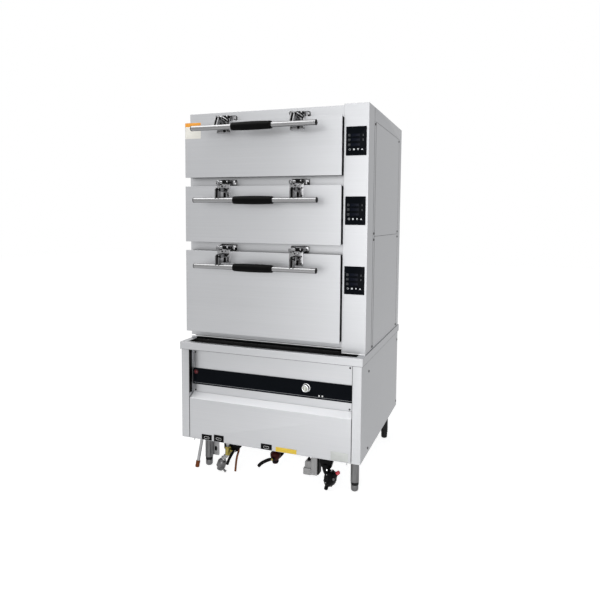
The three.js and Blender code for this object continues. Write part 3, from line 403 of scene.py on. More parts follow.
def frames(centres, breadth, tall, section, corner, right=rightward, up=upward):
    """A section carried round a rectangle with round corners. Each of the section's points has an
    inset d and a height. At inset d the rectangle shrinks by d on every side, and its corners follow
    quarter circles of radius corner - d, or stay sharp once that is nothing."""
    centres = np.atleast_2d(centres).astype(float)
    right, up = np.array(right, float), np.array(up, float)
    inset, height = np.array(section, float).T
    angle = (np.arange(4)[:, None] * 90 + np.linspace(0, 90, 7)[None]).ravel() * math.pi / 180
    quarter = np.repeat([[1, 1], [-1, 1], [-1, -1], [1, -1]], 7, 0)
    left_over = np.maximum(corner - inset, 0)
    half = np.array([breadth / 2, tall / 2]) - (inset + left_over)[:, None]
    circle = np.stack([np.cos(angle), np.sin(angle)], -1)
    rim = quarter[:, None, :] * half[None] + left_over[None, :, None] * circle[:, None, :]
    spots = rim[..., :1] * right + rim[..., 1:] * up + height[None, :, None] * np.cross(right, up)
    return centres[:, None, None, :] + spots[None]


def plate(name, material, slot, centres, breadth, tall, thick, corner, ease=0.0006, section=None,
          right=rightward, up=upward, **more):
    """Plates with round corners and an eased front edge, or another section, standing on their
    centres' plane: a framed section that starts at a point at the back and ends at one in front."""
    bend = np.linspace(0, math.pi / 2, 4)
    eased = np.stack([ease * (1 - np.cos(bend)), thick - ease + ease * np.sin(bend)], -1)
    section = np.concatenate([[(0, 0)], eased]) if section is None else np.array(section, float)
    side = frames(centres, breadth, tall, section, corner, right, up)
    out = np.cross(np.array(right, float), np.array(up, float))
    base = np.atleast_2d(centres).astype(float)[:, None, None, :]
    shape = (len(base), side.shape[1], 1, 3)
    ends = [np.broadcast_to(base + section[end, 1] * out, shape) for end in (0, -1)]
    return knit(name, np.concatenate([ends[0], side, ends[1]], 2), material, slot, **more)


strip_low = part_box("control_strip")[0]
glass_face = strip_low[1]
softened("control_strip", panel_glass, 0.0006)
chrome = brushed("turned_chrome", (0.52, 0.53, 0.53), (0.72, 0.73, 0.73), 0.16, 60, 0.02)
white_dot = enamel("white_lens", (0.62, 0.63, 0.63), (0.78, 0.79, 0.78), 0.25)
red_lens = enamel("red_lens", (0.11, 0.007, 0.012), (0.24, 0.018, 0.027), 0.2, Coat_Weight=0.15)
red_ring = enamel("red_ring", (0.06, 0.005, 0.007), (0.13, 0.012, 0.015), 0.4)
trim = enamel("pale_trim", (0.10, 0.11, 0.12), (0.2, 0.21, 0.22), 0.4)
knob_plate = enamel("knob_inlay", (0.32, 0.33, 0.28), (0.5, 0.51, 0.44), 0.4, 40)
plate("strip_trim", trim, "black_panel", (0, glass_face, strip_low[2] + 0.009), 0.888, 0.0022, 0.0005,
      0.0008, 0.0002)
knob_face = middle_of("gas_knob", glass_face)
knob_profile = np.array([
    (0, 0.0003), (21.9, 0.0003), (22, 1), (22, 12), (21.6, 15), (20.5, 17.2), (18.6, 18.6), (17.2, 18.9),
    (15.6, 18.4), (14.8, 17.0), (14.4, 16.6), (0, 16.9)]) * (0.87, 1.0)
spin("gas_knob_turned", chrome, "polished_steel", knob_profile, knob_face, sides=64, body="gas_knob",
     hides="gas_knob")
spin("gas_knob_inlay", knob_plate, "polished_steel",
     [(0, 16.6), (12.0, 16.6), (12.3, 17.0), (11.8, 17.5), (0, 17.8)], knob_face, sides=48, body="gas_knob")
plate("gas_knob_pointer", chrome, "polished_steel", knob_face + (0, -0.0172, 0.001), 0.0045, 0.022, 0.003,
      0.0022, 0.0008, body="gas_knob")
spin("gas_knob_collar", chrome, "polished_steel", [(0, 0), (21.2, 0), (21.2, 0.6), (20.7, 1.0), (0, 1.0)],
     knob_face + (0, 0.0002, 0), sides=48)
spin("indicator_lights", white_dot, "black_panel",
     [(0, 0), (4.2, 0), (4.2, 0.8), (3.6, 1.3), (2.6, 1.6), (0, 1.9)],
     [(x, glass_face, 0.481) for x in (0.270, 0.287)], sides=24)
lamp_face = middle_of("pilot_lamp", glass_face)
spin("pilot_lens", red_lens, "red_lens",
     [(0, -0.2), (5.2, -0.2), (5.4, 2.2), (4.8, 3.2), (3.0, 4.0), (0, 4.2)], lamp_face, hides="pilot_lamp")
spin("pilot_ring", red_ring, "red_lens",
     [(8.4, 0), (11.6, 0), (11.6, 1.4), (11, 2.2), (9.0, 2.2), (8.4, 1.6)], lamp_face)


# Lower panel. One lift-off sheet with a slanted top lip; blank tags are stuck and riveted along its
# foot, over the pipes that they mark.
# The lip's faces that slant up and forward, which get the painted highlight.
def slanted(middle, normal):
    return (normal[:, 2] > 0.5) & (normal[:, 1] < -0.3)


def outlined(name, material, slot, centres, breadth, tall, corner, line):
    """A printed line of this width and 0.15 mm thickness, round a rectangle with round corners."""
    ink = 0.00015
    section = [(0, 0), (0, ink), (line, ink), (line, 0)]
    knit(name, frames(centres, breadth, tall, section, corner), material, slot, wrap=(True, True))


# A lighter copy of the sheet on the slanted lip: painted highlight for the light the lip catches from above.
lip_painted_highlight = brushed("lit_lip_sheet", (0.62, 0.625, 0.64), (0.72, 0.725, 0.74), 0.62)
softened("lower_panel", sheet_steel, 0.0014, [(lip_painted_highlight, slanted)])
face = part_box("lower_panel")[0][1]
tag_black = enamel("tag_black", 0.002, (0.006, 0.006, 0.007), 0.3, 60, shine=0.03)
tag_white = enamel("tag_white", 0.55, 0.72, 0.5, 60)
tag_yellow = enamel("tag_yellow", (0.62, 0.42, 0.03), (0.8, 0.58, 0.06), 0.45, 60)
plate_metal = brushed("etched_plate", (0.30, 0.31, 0.30), (0.44, 0.45, 0.44), 0.42, (900, 5, 2))
for name, (left, right, bottom, top), paint in (
        ("tag_overflow", (-0.374, -0.314, 0.1815, 0.2105), tag_black),
        ("tag_drain", (-0.301, -0.243, 0.1815, 0.2165), tag_black),
        ("tag_gas", (-0.029, 0.032, 0.1815, 0.2105), tag_black),
        ("tag_yellow", (0.053, 0.166, 0.1815, 0.2045), tag_yellow),
        ("blank_plate", (0.345, 0.433, 0.1835, 0.227), plate_metal)):
    centre = np.array([(left + right) / 2, face, (bottom + top) / 2])
    plate(name, paint, "brushed_steel", centre, right - left, top - bottom, 0.0008, 0.002, 0.0003)
    if paint is tag_black:
        outlined(name + "_oval", tag_white, "brushed_steel", centre - (0, 0.0008, 0.002), 0.031, 0.0125,
                 0.00625, 0.0015)


# Legs. Round stainless posts bolted to plates under the floor, the back right one drawn near black as painted
# shade under the base.
# Each has a six-sided lock nut over a threaded foot that ends in a rounded bullet; the nut is near black,
# painted shade over the thread.
cast_steel = brushed("tumbled_steel", (0.20, 0.20, 0.205), (0.34, 0.34, 0.345), 0.26, 70, 0.25)
# Strong random vertical streaks from near black to grey: painted reflection for the dark bands a round post
# mirrors.
post_steel = brushed("reflection_streaked_tube", (0.04, 0.04, 0.042), (0.22, 0.22, 0.223), 0.3, (60, 60, 9), 0.1)
# Near-black copy of the tube: painted shade, for the back right leg and the lock nuts.
shaded_post = brushed("shaded_tube", (0.006, 0.006, 0.0065), (0.03, 0.03, 0.031), 0.35, (60, 60, 9), 0.1)
post_top, bolt_way = 0.1757, 0.028
foot_thread = [(15.5 + (k % 2) * 0.9, 33 + k * 0.9) for k in range(15)]
for end in ("front_left", "front_right", "back_left", "back_right"):
    stand = middle_of("leg_" + end) * (1, 1, 0)
    spin("leg_post_" + end, shaded_post if end == "back_right" else post_steel, "hardware_steel", [
        (0, 0), (8, 0), (12.5, 0.8), (16, 3), (18.2, 6.5), (19, 11), (19, 30), (18.4, 32), *foot_thread,
        (20.6, 48), (21.5, 49), (21.5, 171), (27, 172.2), (28, 174), (28, 176), (0, 176)],
        stand, upward, 48, hides="leg_" + end)
    plate("leg_plate_" + end, post_steel, "hardware_steel", stand + (0, 0, post_top), 0.074, 0.074, 0.004,
          0.006, up=(0, 1, 0))
    spin("leg_nut_" + end, shaded_post, "hardware_steel",
         [(15.2, 0), (20, 0), (21, 1.2), (21, 10.8), (20, 12), (15.2, 12)],
         stand + (0, 0, 0.0345), upward, 48, 19.2)
    spin("leg_bolts_" + end, cast_steel, "hardware_steel",
         [(0, 0), (6.5, 0), (6.5, 0.8), (5.9, 4), (5.2, 4.6), (0, 4.6)],
         [stand + (x, y, post_top) for x in (-bolt_way, bolt_way) for y in (-bolt_way, bolt_way)],
         downward, 24, 5.5)


# Boiler and burner, inside the base: plain stainless sheet over cast iron bars. They keep their
# solids' shapes and get their finishes.
def dress(material, *nodes):
    for node in nodes:
        for place in frame["nodes"][node].material_slots:
            place.material = material


liner_steel = brushed("rolled_liner", (0.36, 0.36, 0.365), (0.46, 0.46, 0.465), 0.3, (40, 3, 40), 0.05)
iron = enamel("sand_cast_iron", (0.03, 0.028, 0.027), (0.09, 0.08, 0.075), 0.75, 120, 0.6, Metallic=0.3)
dress(liner_steel, "boiler")
dress(iron, "burner")


# Overflow pipe. A grey plastic pipe that leans out from its collar, with a copper tail pushed into
# its foot.
def pipe(name, material, slot, path, radii, sides=20, flat=1.0, beside=(0, 1, 0), **more):
    """A pipe along a path: at each point a ring of its radius lies across the path's direction,
    squeezed by `flat` along the second of its two axes. The first axis is beside x direction."""
    path = np.array(path, float)
    radii = np.broadcast_to(np.array(radii, float), len(path))
    run = np.gradient(path, axis=0)
    run /= np.linalg.norm(run, axis=1)[:, None]
    across = np.cross(np.array(beside, float), run)
    across /= np.linalg.norm(across, axis=1)[:, None]
    second = np.cross(run, across)
    angle = np.arange(sides) * 2 * math.pi / sides
    ring = (np.cos(angle)[:, None, None] * across[None]
            + flat * np.sin(angle)[:, None, None] * second[None])
    wall = path[None] + radii[None, :, None] * ring
    ends = [np.broadcast_to(path[end], (sides, 1, 3)) for end in (0, -1)]
    return knit(name, np.concatenate([ends[0], wall, ends[1]], 1)[None], material, slot, **more)


def eased(points, steps):
    """A smooth path through a few points: between two of them it is the cubic whose slope at each
    is half the step from the one before to the one after."""
    points = np.array(points, float)
    padded = np.concatenate([[2 * points[0] - points[1]], points, [2 * points[-1] - points[-2]]])
    place = np.linspace(0, len(points) - 1, steps)
    first = np.minimum(place.astype(int), len(points) - 2)
    t = (place - first)[:, None]
    a, b, c, d = (padded[first + k] for k in range(4))
    square, cube = 2 * a - 5 * b + 4 * c - d, 3 * b - a - 3 * c + d
    return 0.5 * (2 * b + (c - a) * t + square * t ** 2 + cube * t ** 3)


base_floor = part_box("overflow_pipe")[1][2]
pipe_grey = enamel("pipe_grey", (0.36, 0.36, 0.37), (0.52, 0.52, 0.53), 0.4, 30)
copper = brushed("worn_copper", (0.015, 0.006, 0.003), (0.20, 0.065, 0.026), 0.34, (90, 90, 30), 0.2)
pipe_top, pipe_foot = np.array([-0.396, -0.3706, base_floor]), np.array([-0.4305, -0.3706, 0.004])
pipe_line = pipe_top + (pipe_foot - pipe_top) * np.linspace(0, 1, 30)[:, None]
pipe("overflow_pipe_body", pipe_grey, "grey_plastic", pipe_line[:25], 0.0088, hides="overflow_pipe")
pipe("overflow_tail", copper, "grey_plastic", pipe_line[23:],
     [0.0100, 0.0118, 0.0118, 0.0112, 0.0112, 0.0118, 0.0112])
spin("overflow_collar", pipe_grey, "grey_plastic",
     [(0, 0), (13, 0), (13, 3), (12, 4), (9.5, 4.5), (9.5, 15), (8.6, 16.5), (0, 16.5)], pipe_top, downward)


# Drain valve. A brass ball valve with ground flats hangs on a steel pipe before a black gusset. A
# silver spout is turned to the front below it, a dipped black lever works it, and a bent copper
# bleed tube runs down behind. A grey filter holder hangs between the pipes.
brass = brushed("machined_brass", (0.14, 0.115, 0.02), (0.36, 0.30, 0.09), 0.3, (150, 150, 700), 0.15)
zinc = brushed("dull_zinc", 0.0, (0.22, 0.22, 0.225), 0.28, 45, 0.2)
nickel = brushed("nickel_plate", 0.18, 0.34, 0.25, 90, 0.2)
tape = enamel("white_tape", 0.6, 0.8, 0.6, 200, 0.3)
dipped = enamel("dipped_black", 0.002, (0.006, 0.006, 0.0065), 0.42, 50, 0.15, 0.04)
black_steel = enamel("black_paint", 0.002, (0.007, 0.007, 0.0075), 0.45, 60, 0.2, 0.04)
holder = enamel("holder_grey", (0.42, 0.42, 0.43), (0.54, 0.54, 0.55), 0.4, 25)
valve = np.array([-0.246, -0.362585, 0.0])
pipe_thread = [(10.4 + 0.8 * (k % 2), 30 + 0.9 * k) for k in range(9)]
spin("drain_pipe", nickel, "brass",
     [(0, 0), (14, 0), (14, 4), (13, 5), (10.8, 5.4), (10.8, 29), *pipe_thread, (10.8, 39), (0, 39)],
     valve + (0, 0, base_floor), downward, 40, hides="drain_valve")
spin("drain_body", brass, "brass", [
    (0, 0), (12.5, 0), (15.2, 0.5), (17.2, 2.2), (17.2, 11.5), (14.6, 13.2), (14.6, 15), (16.4, 17),
    (16.8, 23), (16.4, 29), (14.6, 31), (14.6, 32.8), (17.2, 34.5), (17.2, 43.5), (15.2, 45.4), (12.5, 46),
    (0, 46)],
    valve + (0, 0, 0.142), downward, 72, 14.9)
spin("drain_gland", brass, "brass",
     [(0, 0), (8.4, 0), (8.4, 3), (7, 4.2), (7, 6), (4.6, 6.4), (4.6, 16.4), (0, 16.4)],
     valve + (0.0148, 0, 0.119), rightward, 36, 7.4)
neck_root = valve + (0, 0, 0.100)
spout_root, spout_end = np.array([-0.270, -0.370585, 0.073]), np.array([-0.288, -0.378585, 0.013])
neck_run = spout_root - neck_root
spin("drain_neck", nickel, "brass", [
    (0, 0), (12.5, 0), (12.5, 7), (11, 8), (11, 16), (12.6, 16.4), (12.6, 20), (11, 20.4), (11, 37), (0, 37)],
    neck_root, neck_run, 36)
spin("drain_seal", tape, "brass", [(11, 0), (15.4, 0.3), (15.9, 1.6), (15.4, 2.9), (11, 3.2)],
     neck_root + neck_run * 0.9, neck_run, 36)
spin("drain_spout", zinc, "brass", [
    (0, 0), (11, 0), (14.5, 1.5), (16.8, 5), (20.5, 9.5), (23.2, 14), (24.2, 20), (24.4, 30), (24.0, 38),
    (24.9, 39.5), (24.9, 42), (23.6, 44), (19.5, 46.5), (17.4, 52), (16.8, 60), (15.8, 61), (15.0, 60),
    (14.6, 54), (0, 53)], spout_root, spout_end - spout_root, 48)
pipe("drain_nib", zinc, "brass",
     eased([(-0.270, -0.377, 0.028), (-0.261, -0.380, 0.017), (-0.249, -0.381, 0.0085)], 14),
     [0.0052] * 11 + [0.0062, 0.0062, 0.0052])


def lever(name, metal, pivot, out, fall, side, nut_step, breadth, flat):
    """A dipped lever: from its stem it runs out flat, then bends down to a blunt end. Its section is
    an ellipse that swells from the flat root to a sleeve; `side` is the direction that it faces, and
    its nut sits there."""
    shares = np.array([(-0.16, 0.02), (0, 0), (0.18, 0.07), (0.42, 0.25), (0.72, 0.54), (0.9, 0.8), (1, 1.0)])
    route = eased(pivot + shares[:, :1] * np.array(out) + shares[:, 1:] * np.array((0, 0, -fall)), 60)
    t = np.linspace(0, 1, 60)
    swell = np.clip((t - 0.25) / 0.1, 0, 1)
    radii = breadth * (0.86 + 0.2 * swell * (1 - 0.25 * t)) * np.sqrt(np.clip((1.015 - t) / 0.05, 0, 1))
    radii[:4] *= (0.5, 0.8, 0.93, 0.99)
    pipe(name + "_dipped", dipped, "black_plastic", route, radii, 24, flat, side, body=name, hides=name)
    spin(name + "_nut", metal, "black_plastic",
         [(0, 0), (6.2, 0), (6.2, 2.6), (5.2, 3.4), (3, 3.6), (3, 4.8), (0, 5)],
         pivot + nut_step * np.array(side), side, 36, 5.2, body=name)


def cut_plate(name, outline, front, back):
    """A flat black plate between two depths, cut to an outline of x and z that its faces fan out to."""
    wall = np.stack([np.insert(outline, 1, y, axis=1) for y in (front, back)], 1)
    middle = np.broadcast_to(wall.mean(0, keepdims=True), wall.shape)
    grid = np.concatenate([middle[:, :1], wall, middle[:, 1:]], 1)[None]
    knit(name, grid, black_steel, "black_casting")


lever("drain_lever", nickel, np.array([-0.2108, -0.362585, 0.119]), (-0.012, -0.052, 0), 0.054, rightward,
      0.0052, 0.0082, 0.85)
pipe("bleed_tube", copper, "brass", eased([
    (-0.196, -0.3365, base_floor), (-0.196, -0.3365, 0.145), (-0.1955, -0.3385, 0.114),
    (-0.1955, -0.3510, 0.097), (-0.1985, -0.3585, 0.070), (-0.2040, -0.3605, 0.010)], 60), 0.0056)
cut_plate("drain_gusset", [
    (-0.279, base_floor), (-0.165, base_floor), (-0.168, 0.15), (-0.200, 0.112), (-0.210, 0.109),
    (-0.234, 0.109), (-0.262, 0.112), (-0.277, 0.118)], -0.3475, -0.3445)
plate("filter_holder", holder, "grey_housing", (-0.3750, -0.286, 0.1122), 0.066, 0.135, 0.006, 0.006, 0.0015)
plate("filter_ports", black_steel, "black_casting", (-0.3605, -0.2918, 0.082), 0.014, 0.026, 0.0012,
      0.0068, 0.0004)


# Gas cock. A tapered plug cock, painted nearly black over its cast body, hangs before a black cut
# plate. Its dipped lever is turned to the left.
cock_paint = enamel("cock_lacquer", (0.002, 0.001, 0.001), (0.065, 0.009, 0.008), 0.35, 45, 0.3,
                    0.06)
cock = np.array([0.024, -0.350585, 0.0])
spin("gas_cock_body", cock_paint, "brass", [
    (0, 0), (15, 0), (15, 3), (12, 3.6), (12, 31), (18, 32), (23.5, 35), (26.5, 40), (27.2, 47), (26.0, 56),
    (23.0, 64), (19.4, 70), (16, 74), (14.4, 78), (14.4, 84), (15.2, 85), (15.2, 89), (13.5, 91.5),
    (0, 91.7)],
    cock + (0, 0, base_floor), downward, 48, hides="gas_cock")
spin("gas_cock_nut", black_steel, "brass", [(0, 0), (19, 0), (19, 8), (17.5, 9.6), (0, 9.6)],
     cock + (0, 0, 0.1055), downward, 72, 16.5)
cut_plate("gas_cock_hanger", [
    (-0.001, base_floor), (0.074, base_floor), (0.070, 0.158), (0.056, 0.124), (0.036, 0.100),
    (0.008, 0.100)], -0.3215, -0.3175)
spin("gas_cock_bonnet", cock_paint, "brass",
     [(0, 0), (12.5, 0), (12.5, 19), (11, 20.4), (8, 20.8), (8, 25), (5, 25.4), (5, 36), (0, 36)],
     cock + (0, 0, 0.124), sides=36)
lever("gas_cock_lever", brass, np.array([0.024, -0.3889, 0.124]), (-0.080, 0, 0), 0.052, forward, 0.0036,
      0.0086, 0.5)


# Gas solenoid. A grey painted valve block with a black plate on its right, painted shade for the block's dark
# right side, its coil box and a foot on its left, and a black gland where the cable would enter.
housing = enamel("satin_housing", 0.29, 0.37, 0.45, 35, 0.12)
low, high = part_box("gas_solenoid")
back, depth = high[1], high[1] - low[1]
main_left, main_top = high[0] - 0.040, base_floor - 0.0005
block_foot, shade_plate_foot = 0.060, 0.064
plate("solenoid_block", housing, "grey_housing",
      (main_left + 0.0165, back - 0.002, (block_foot + main_top) / 2), 0.033, main_top - block_foot,
      depth - 0.004, 0.0035, 0.003, hides="gas_solenoid")
# Black plate on the block's right side: painted shade.
plate("solenoid_shade_plate", black_steel, "black_casting",
      (high[0] - 0.004, back - 0.004, (shade_plate_foot + main_top) / 2), 0.0085, main_top - shade_plate_foot,
      depth - 0.009, 0.003, 0.002)
plate("solenoid_coil", housing, "grey_housing", (main_left - 0.0175, back - 0.004, 0.1095), 0.035, 0.033,
      0.042, 0.005, 0.004)
plate("solenoid_foot", housing, "grey_housing", (main_left - 0.0215, back - 0.002, 0.0735), 0.043, 0.035,
      depth - 0.005, 0.004, 0.003)
plate("solenoid_ribs", housing, "grey_housing",
      [(main_left - 0.0175, back - 0.0465, z) for z in (0.099, 0.105, 0.111, 0.117)], 0.026, 0.0016,
      0.0012, 0.0007, 0.0004)
spin("solenoid_gland", dipped, "black_plastic",
     [(0, 0), (9, 0), (9, 5), (7.6, 6.5), (6.4, 9), (6.4, 13), (4, 14.5), (0, 14.5)],
     (main_left - 0.018, back - 0.026, 0.1255), upward, 36, 8.4)
spin("solenoid_screws", cast_steel, "grey_housing", [(0, 0), (4, 0), (4, 0.8), (3.2, 1.2), (0, 1.3)],
     [(main_left + x, low[1] + 0.0022, z) for x in (0.006, 0.027) for z in (0.067, 0.165)], sides=20)


# Gas regulator. A black cast body under a tapered filter box; a ribbed round cover with its screws
# and spindle nut faces the front, a hose stub points down and a small red knob sits on its shoulder.
# Two bright chrome bolts, one on the elbow and one on the cover's rim, are painted highlights for glints on
# the black casting.
casting = enamel("black_casting", 0.001, (0.005, 0.005, 0.0055), 0.3, 110, 0.45, 0.05)
red_cap = enamel("red_cap", (0.42, 0.010, 0.022), (0.62, 0.02, 0.045), 0.3, 60, Coat_Weight=0.2)
inlet = np.array([0.300, -0.350585, 0.0])
hub = np.array([0.334, -0.372585, 0.068])
turn, tilt = 1.02, 0.12
facing = np.array([math.sin(turn) * math.cos(tilt), -math.cos(turn) * math.cos(tilt), math.sin(tilt)])
cover_across = np.cross(facing, upward) / math.cos(tilt)
cover_up = np.cross(facing, cover_across)


def on_cover(angle, radius, height):
    """The place at hub + height x facing + radius x (cos angle x across + sin angle x up)."""
    return hub + facing * height + radius * (math.cos(angle) * cover_across + math.sin(angle) * cover_up)


spin("regulator_nut", casting, "black_casting", [(0, 0), (21, 0), (21, 6), (19.5, 8), (0, 8)],
     inlet + (0, 0, base_floor), downward, 72, 18.2, hides="gas_regulator")
box_section = np.array([
    (0, 0), (0, 10), (1.5, 12), (3.5, 30), (10.5, 52), (12.5, 60), (15, 62)]) / 1000
plate("regulator_filter", casting, "black_casting", inlet + (0.0035, 0.002, base_floor - 0.0075), 0.076,
      0.044, 0.062, 0.012, section=box_section, up=forward)
pipe("regulator_elbow", casting, "black_casting", eased([
    inlet + (0.001, 0.001, 0.125), inlet + (0.002, -0.002, 0.108), (0.311, -0.358, 0.092),
    hub + (-0.006, 0.006, 0.006)], 24), 0.0195, 28)
cover = np.array([
    (0, -17), (20, -17), (24.5, -15.5), (28, -10), (30, -7.5), (32, -7), (32.2, -1), (31.4, 0.4), (30, 0.8),
    (28.2, 4), (25.4, 9), (20.5, 13), (14, 15.4), (13, 16.6), (9, 17), (8.4, 18.6), (0, 18.8)])
spin("regulator_cover", casting, "black_casting", cover * (1.28, 1.0), hub, facing, 72, lobes=(12, 0.03))
small_head = np.array([(0, 0), (3, 0), (3, 1.8), (2.3, 2.6), (0, 2.8)])
spin("regulator_screws", cast_steel, "black_casting", small_head,
     [on_cover(angle, 0.0375, 0.0008) for angle in np.arange(6) * math.pi / 3 + 0.26], facing, 20)
spin("regulator_spindle_nut", zinc, "black_casting",
     [(0, 18.4), (7.6, 18.4), (7.6, 20.8), (6.4, 22), (0, 22.2)], hub, facing, 48, 6.6)
elbow_out = np.array([0.279, -0.853, 0.439])
# Bright bolts at the casting's glints: painted highlights.
spin("regulator_elbow_glint_bolt", chrome, "black_casting", small_head * 1.3,
     (0.3065, -0.3545, 0.098) + elbow_out * 0.0188, elbow_out, 24)
spin("regulator_rim_glint_bolt", chrome, "black_casting", small_head * 1.4,
     on_cover(math.radians(262), 0.0355, 0.0012), facing, 24)
steps = np.arange(30)
pipe("regulator_stub", casting, "black_casting", eased([
    hub + (-0.006, 0.004, -0.016), (0.318, -0.371, 0.036), (0.3105, -0.3722, 0.0175),
    (0.3085, -0.3725, 0.0060)], 30), 0.0092 + 0.0013 * (steps % 4 == 0) - 0.003 * (steps > 27), 24)
knob_way = np.array([math.cos(0.75), 0, math.sin(0.75)])
spin("regulator_boss", casting, "black_casting", [(0, 0), (14, 0), (12, 12), (10, 19), (8.4, 22), (0, 22.2)],
     hub + knob_way * 0.0206, knob_way, 28)
spin("regulator_cap", red_cap, "red_plastic",
     [(0, 0), (9.6, 0), (10, 1), (9.4, 9), (8.8, 13.6), (7.6, 15.4), (5.4, 16.2), (0, 16.4)],
     hub + knob_way * 0.0432, knob_way, 72, lobes=(14, 0.03), body="regulator_knob", hides="regulator_knob")


# Upper cabinet. The shell, side panels, front frame and control column are folded from the same
# stainless sheet. The shell, the side panels and the column's side are drawn in a darker copy of the sheet,
# painted shade for faces turned from the lamps, with a coarser, rougher grain.
for node in ("cabinet_shell", "side_panel_upper", "side_panel_lower"):
    softened(node, shaded_side_steel, 0.0016)
softened("front_frame", sheet_steel, 0.0016)
softened("control_column", sheet_steel, 0.0016, [shaded_side_faces])


# Touch displays. Black glass with eased edges and printed grey symbols: three square icons, four
# lamps, a row of four keys, and dark windows behind which the figures would light.
key_print = enamel("key_print", (0.62, 0.64, 0.66), (0.78, 0.80, 0.82), 0.5, 200, shine=0.2)
icon_print = enamel("icon_print", (0.11, 0.114, 0.118), (0.19, 0.196, 0.204), 0.5, 200, shine=0.1)
window_blue = enamel("window_blue", (0.002, 0.003, 0.008), (0.004, 0.006, 0.013), 0.2, 80, 0.0, 0.06)
icon_rows = (0.0275, 0.0055, -0.0175)
for number in (1, 2, 3):
    low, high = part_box(f"display_{number}")
    front = middle_of(f"display_{number}", low[1])
    plate(f"display_glass_{number}", panel_glass, "black_panel", front + (0, 0.0025, 0), high[0] - low[0],
          high[2] - low[2], 0.0025, 0.003, 0.0007, hides=f"display_{number}")
    icons = [front + (-0.0345, 0, z) for z in icon_rows]
    outlined(f"display_icons_{number}", icon_print, "black_panel", icons, 0.0105, 0.0105, 0.0015, 0.0012)
    plate(f"display_icon_bars_{number}", icon_print, "black_panel",
          [icon + (0, 0, z) for icon in icons for z in (-0.0015, 0.0015)], 0.0058, 0.0011, 0.00015, 0.0005,
          0.00005)
    plate(f"display_windows_{number}", window_blue, "black_panel",
          [front + (-0.003, 0, z) for z in icon_rows], 0.042, 0.013, 0.0001, 0.001, 0.00004)
    spin(f"display_lamps_{number}", icon_print, "black_panel", [(0, 0), (1.9, 0), (1.9, 0.12), (0, 0.15)],
         [front + (0.0335, 0, z) for z in (0.0285, 0.0235, 0.0065, 0.0015)], sides=20)
    keys = [front + (x, 0, -0.0395) for x in (-0.031, -0.0105, 0.0095, 0.0295)]
    spin(f"display_key_ring_{number}", key_print, "black_panel",
         [(3.4, 0), (4.6, 0), (4.6, 0.15), (3.4, 0.15)], keys[0])
    spin(f"display_key_disc_{number}", key_print, "black_panel",
         [(0, 0), (4.4, 0), (4.4, 0.12), (0, 0.15)], keys[1])
    angle = np.radians([90, 210, 330])
    for way, key, flip in (("down", keys[2], -1), ("up", keys[3], 1)):
        tips = (key + 0.0055 * np.stack([np.cos(angle), np.zeros(3), flip * np.sin(angle)], -1)
                - (0, 0, 0.0008 * flip))
        ink = np.array([0, 0.00015, 0])
        middles = [np.broadcast_to(spot, (3, 3)) for spot in (key, key - ink)]
        knit(f"display_arrow_{number}_{way}", np.stack([middles[0], tips, tips - ink, middles[1]], 1)[None],
             key_print, "black_panel")


# Steaming chambers, racks and riser, behind the doors: plain rolled stainless sheet and flat bars.
# They keep their solids' shapes and get their finishes.
dress(liner_steel, "steam_riser", *(f"steam_chamber_{number}" for number in (1, 2, 3)))
dress(nickel, *(f"steam_rack_{number}" for number in (1, 2, 3)))


# Recess shadows. A strip of black rubber stands inside each front stile, where the fascia
# sits back: painted shade for the deep corner of the recess.
rubber = enamel("moulded_rubber", 0.001, 0.004, 0.42, 70, 0.2, 0.04)
fascia_low, fascia_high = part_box("front_fascia")
fascia_face = fascia_low[1]
fascia_tall = fascia_high[2] - fascia_low[2]
for side, end in (("left", -1), ("right", 1)):
    plate(f"recess_shadow_{side}", rubber, "black_rubber",
          (end * 0.449, fascia_face - 0.0260, fascia_low[2] + fascia_tall / 2), 0.025, fascia_tall - 0.006,
          0.002, 0.002, 0.0008, right=(0, -end, 0))


# Doors. A folded skin over an inner pan, with a deep black rubber gasket whose grooved side shows
# at the door's edge. The top door carries a plain two-coloured sticker.
gasket_section = np.array([
    (2, 0), (0, 2), (0, 10), (1.4, 11.5), (1.4, 15), (0, 16.5), (0, 27), (1.4, 28.5), (1.4, 32), (0, 33.5),
    (0, 48.9), (2, 50.9), (35.4, 50.9), (37.4, 49), (37.4, 7), (34, 1.5), (29, 0), (24, 2.6), (18, 3.4),
    (12, 2.6), (7, 0)]) / 1000
for number in (1, 2, 3):
    softened(f"door_{number}_panel", sheet_steel, 0.0016)
    gasket = f"door_{number}_gasket"
    low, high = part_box(gasket)
    grid = frames(middle_of(gasket, high[1]), high[0] - low[0], high[2] - low[2], gasket_section, 0.006)
    knit(f"door_{number}_seal", grid, rubber, "black_rubber", f"door_{number}", (True, True), hides=gasket)
low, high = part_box("door_1_panel")
cream = enamel("sticker_cream", (0.68, 0.66, 0.60), (0.78, 0.77, 0.72), 0.5, 25)
orange = enamel("sticker_orange", (0.70, 0.27, 0.02), (0.82, 0.36, 0.04), 0.5, 25)
for name, bottom, top, paint in (
        ("sticker_body", 0.083, 0.0215, cream), ("sticker_band", 0.0212, 0.002, orange)):
    plate(name, paint, "brushed_steel", (low[0] + 0.0485, low[1], high[2] - (bottom + top) / 2), 0.093,
          bottom - top, 0.0003, 0.001, 0.0001, body="door_1")


# Seams. A bright ground weld bead runs along the foot of the front frame and of the column, drawn much
# lighter than the sheet as a painted highlight for the lit foot, over a black rubber strip that is painted
# shade carrying the gutter's dark band up the frame.
# A dark bead is drawn along each other joint between folded sheets: round the deck's rim, down the base's
# stiles, and round the side panels; these are painted shadow lines for the shade under the rim and in the
# grooves.
# Near-black beads along the joints: painted shadow lines.
shadow_line_paint = enamel("painted_shadow_lines", (0.03, 0.03, 0.032), (0.07, 0.07, 0.074), 0.5, 80, 0.2, shine=0.3)
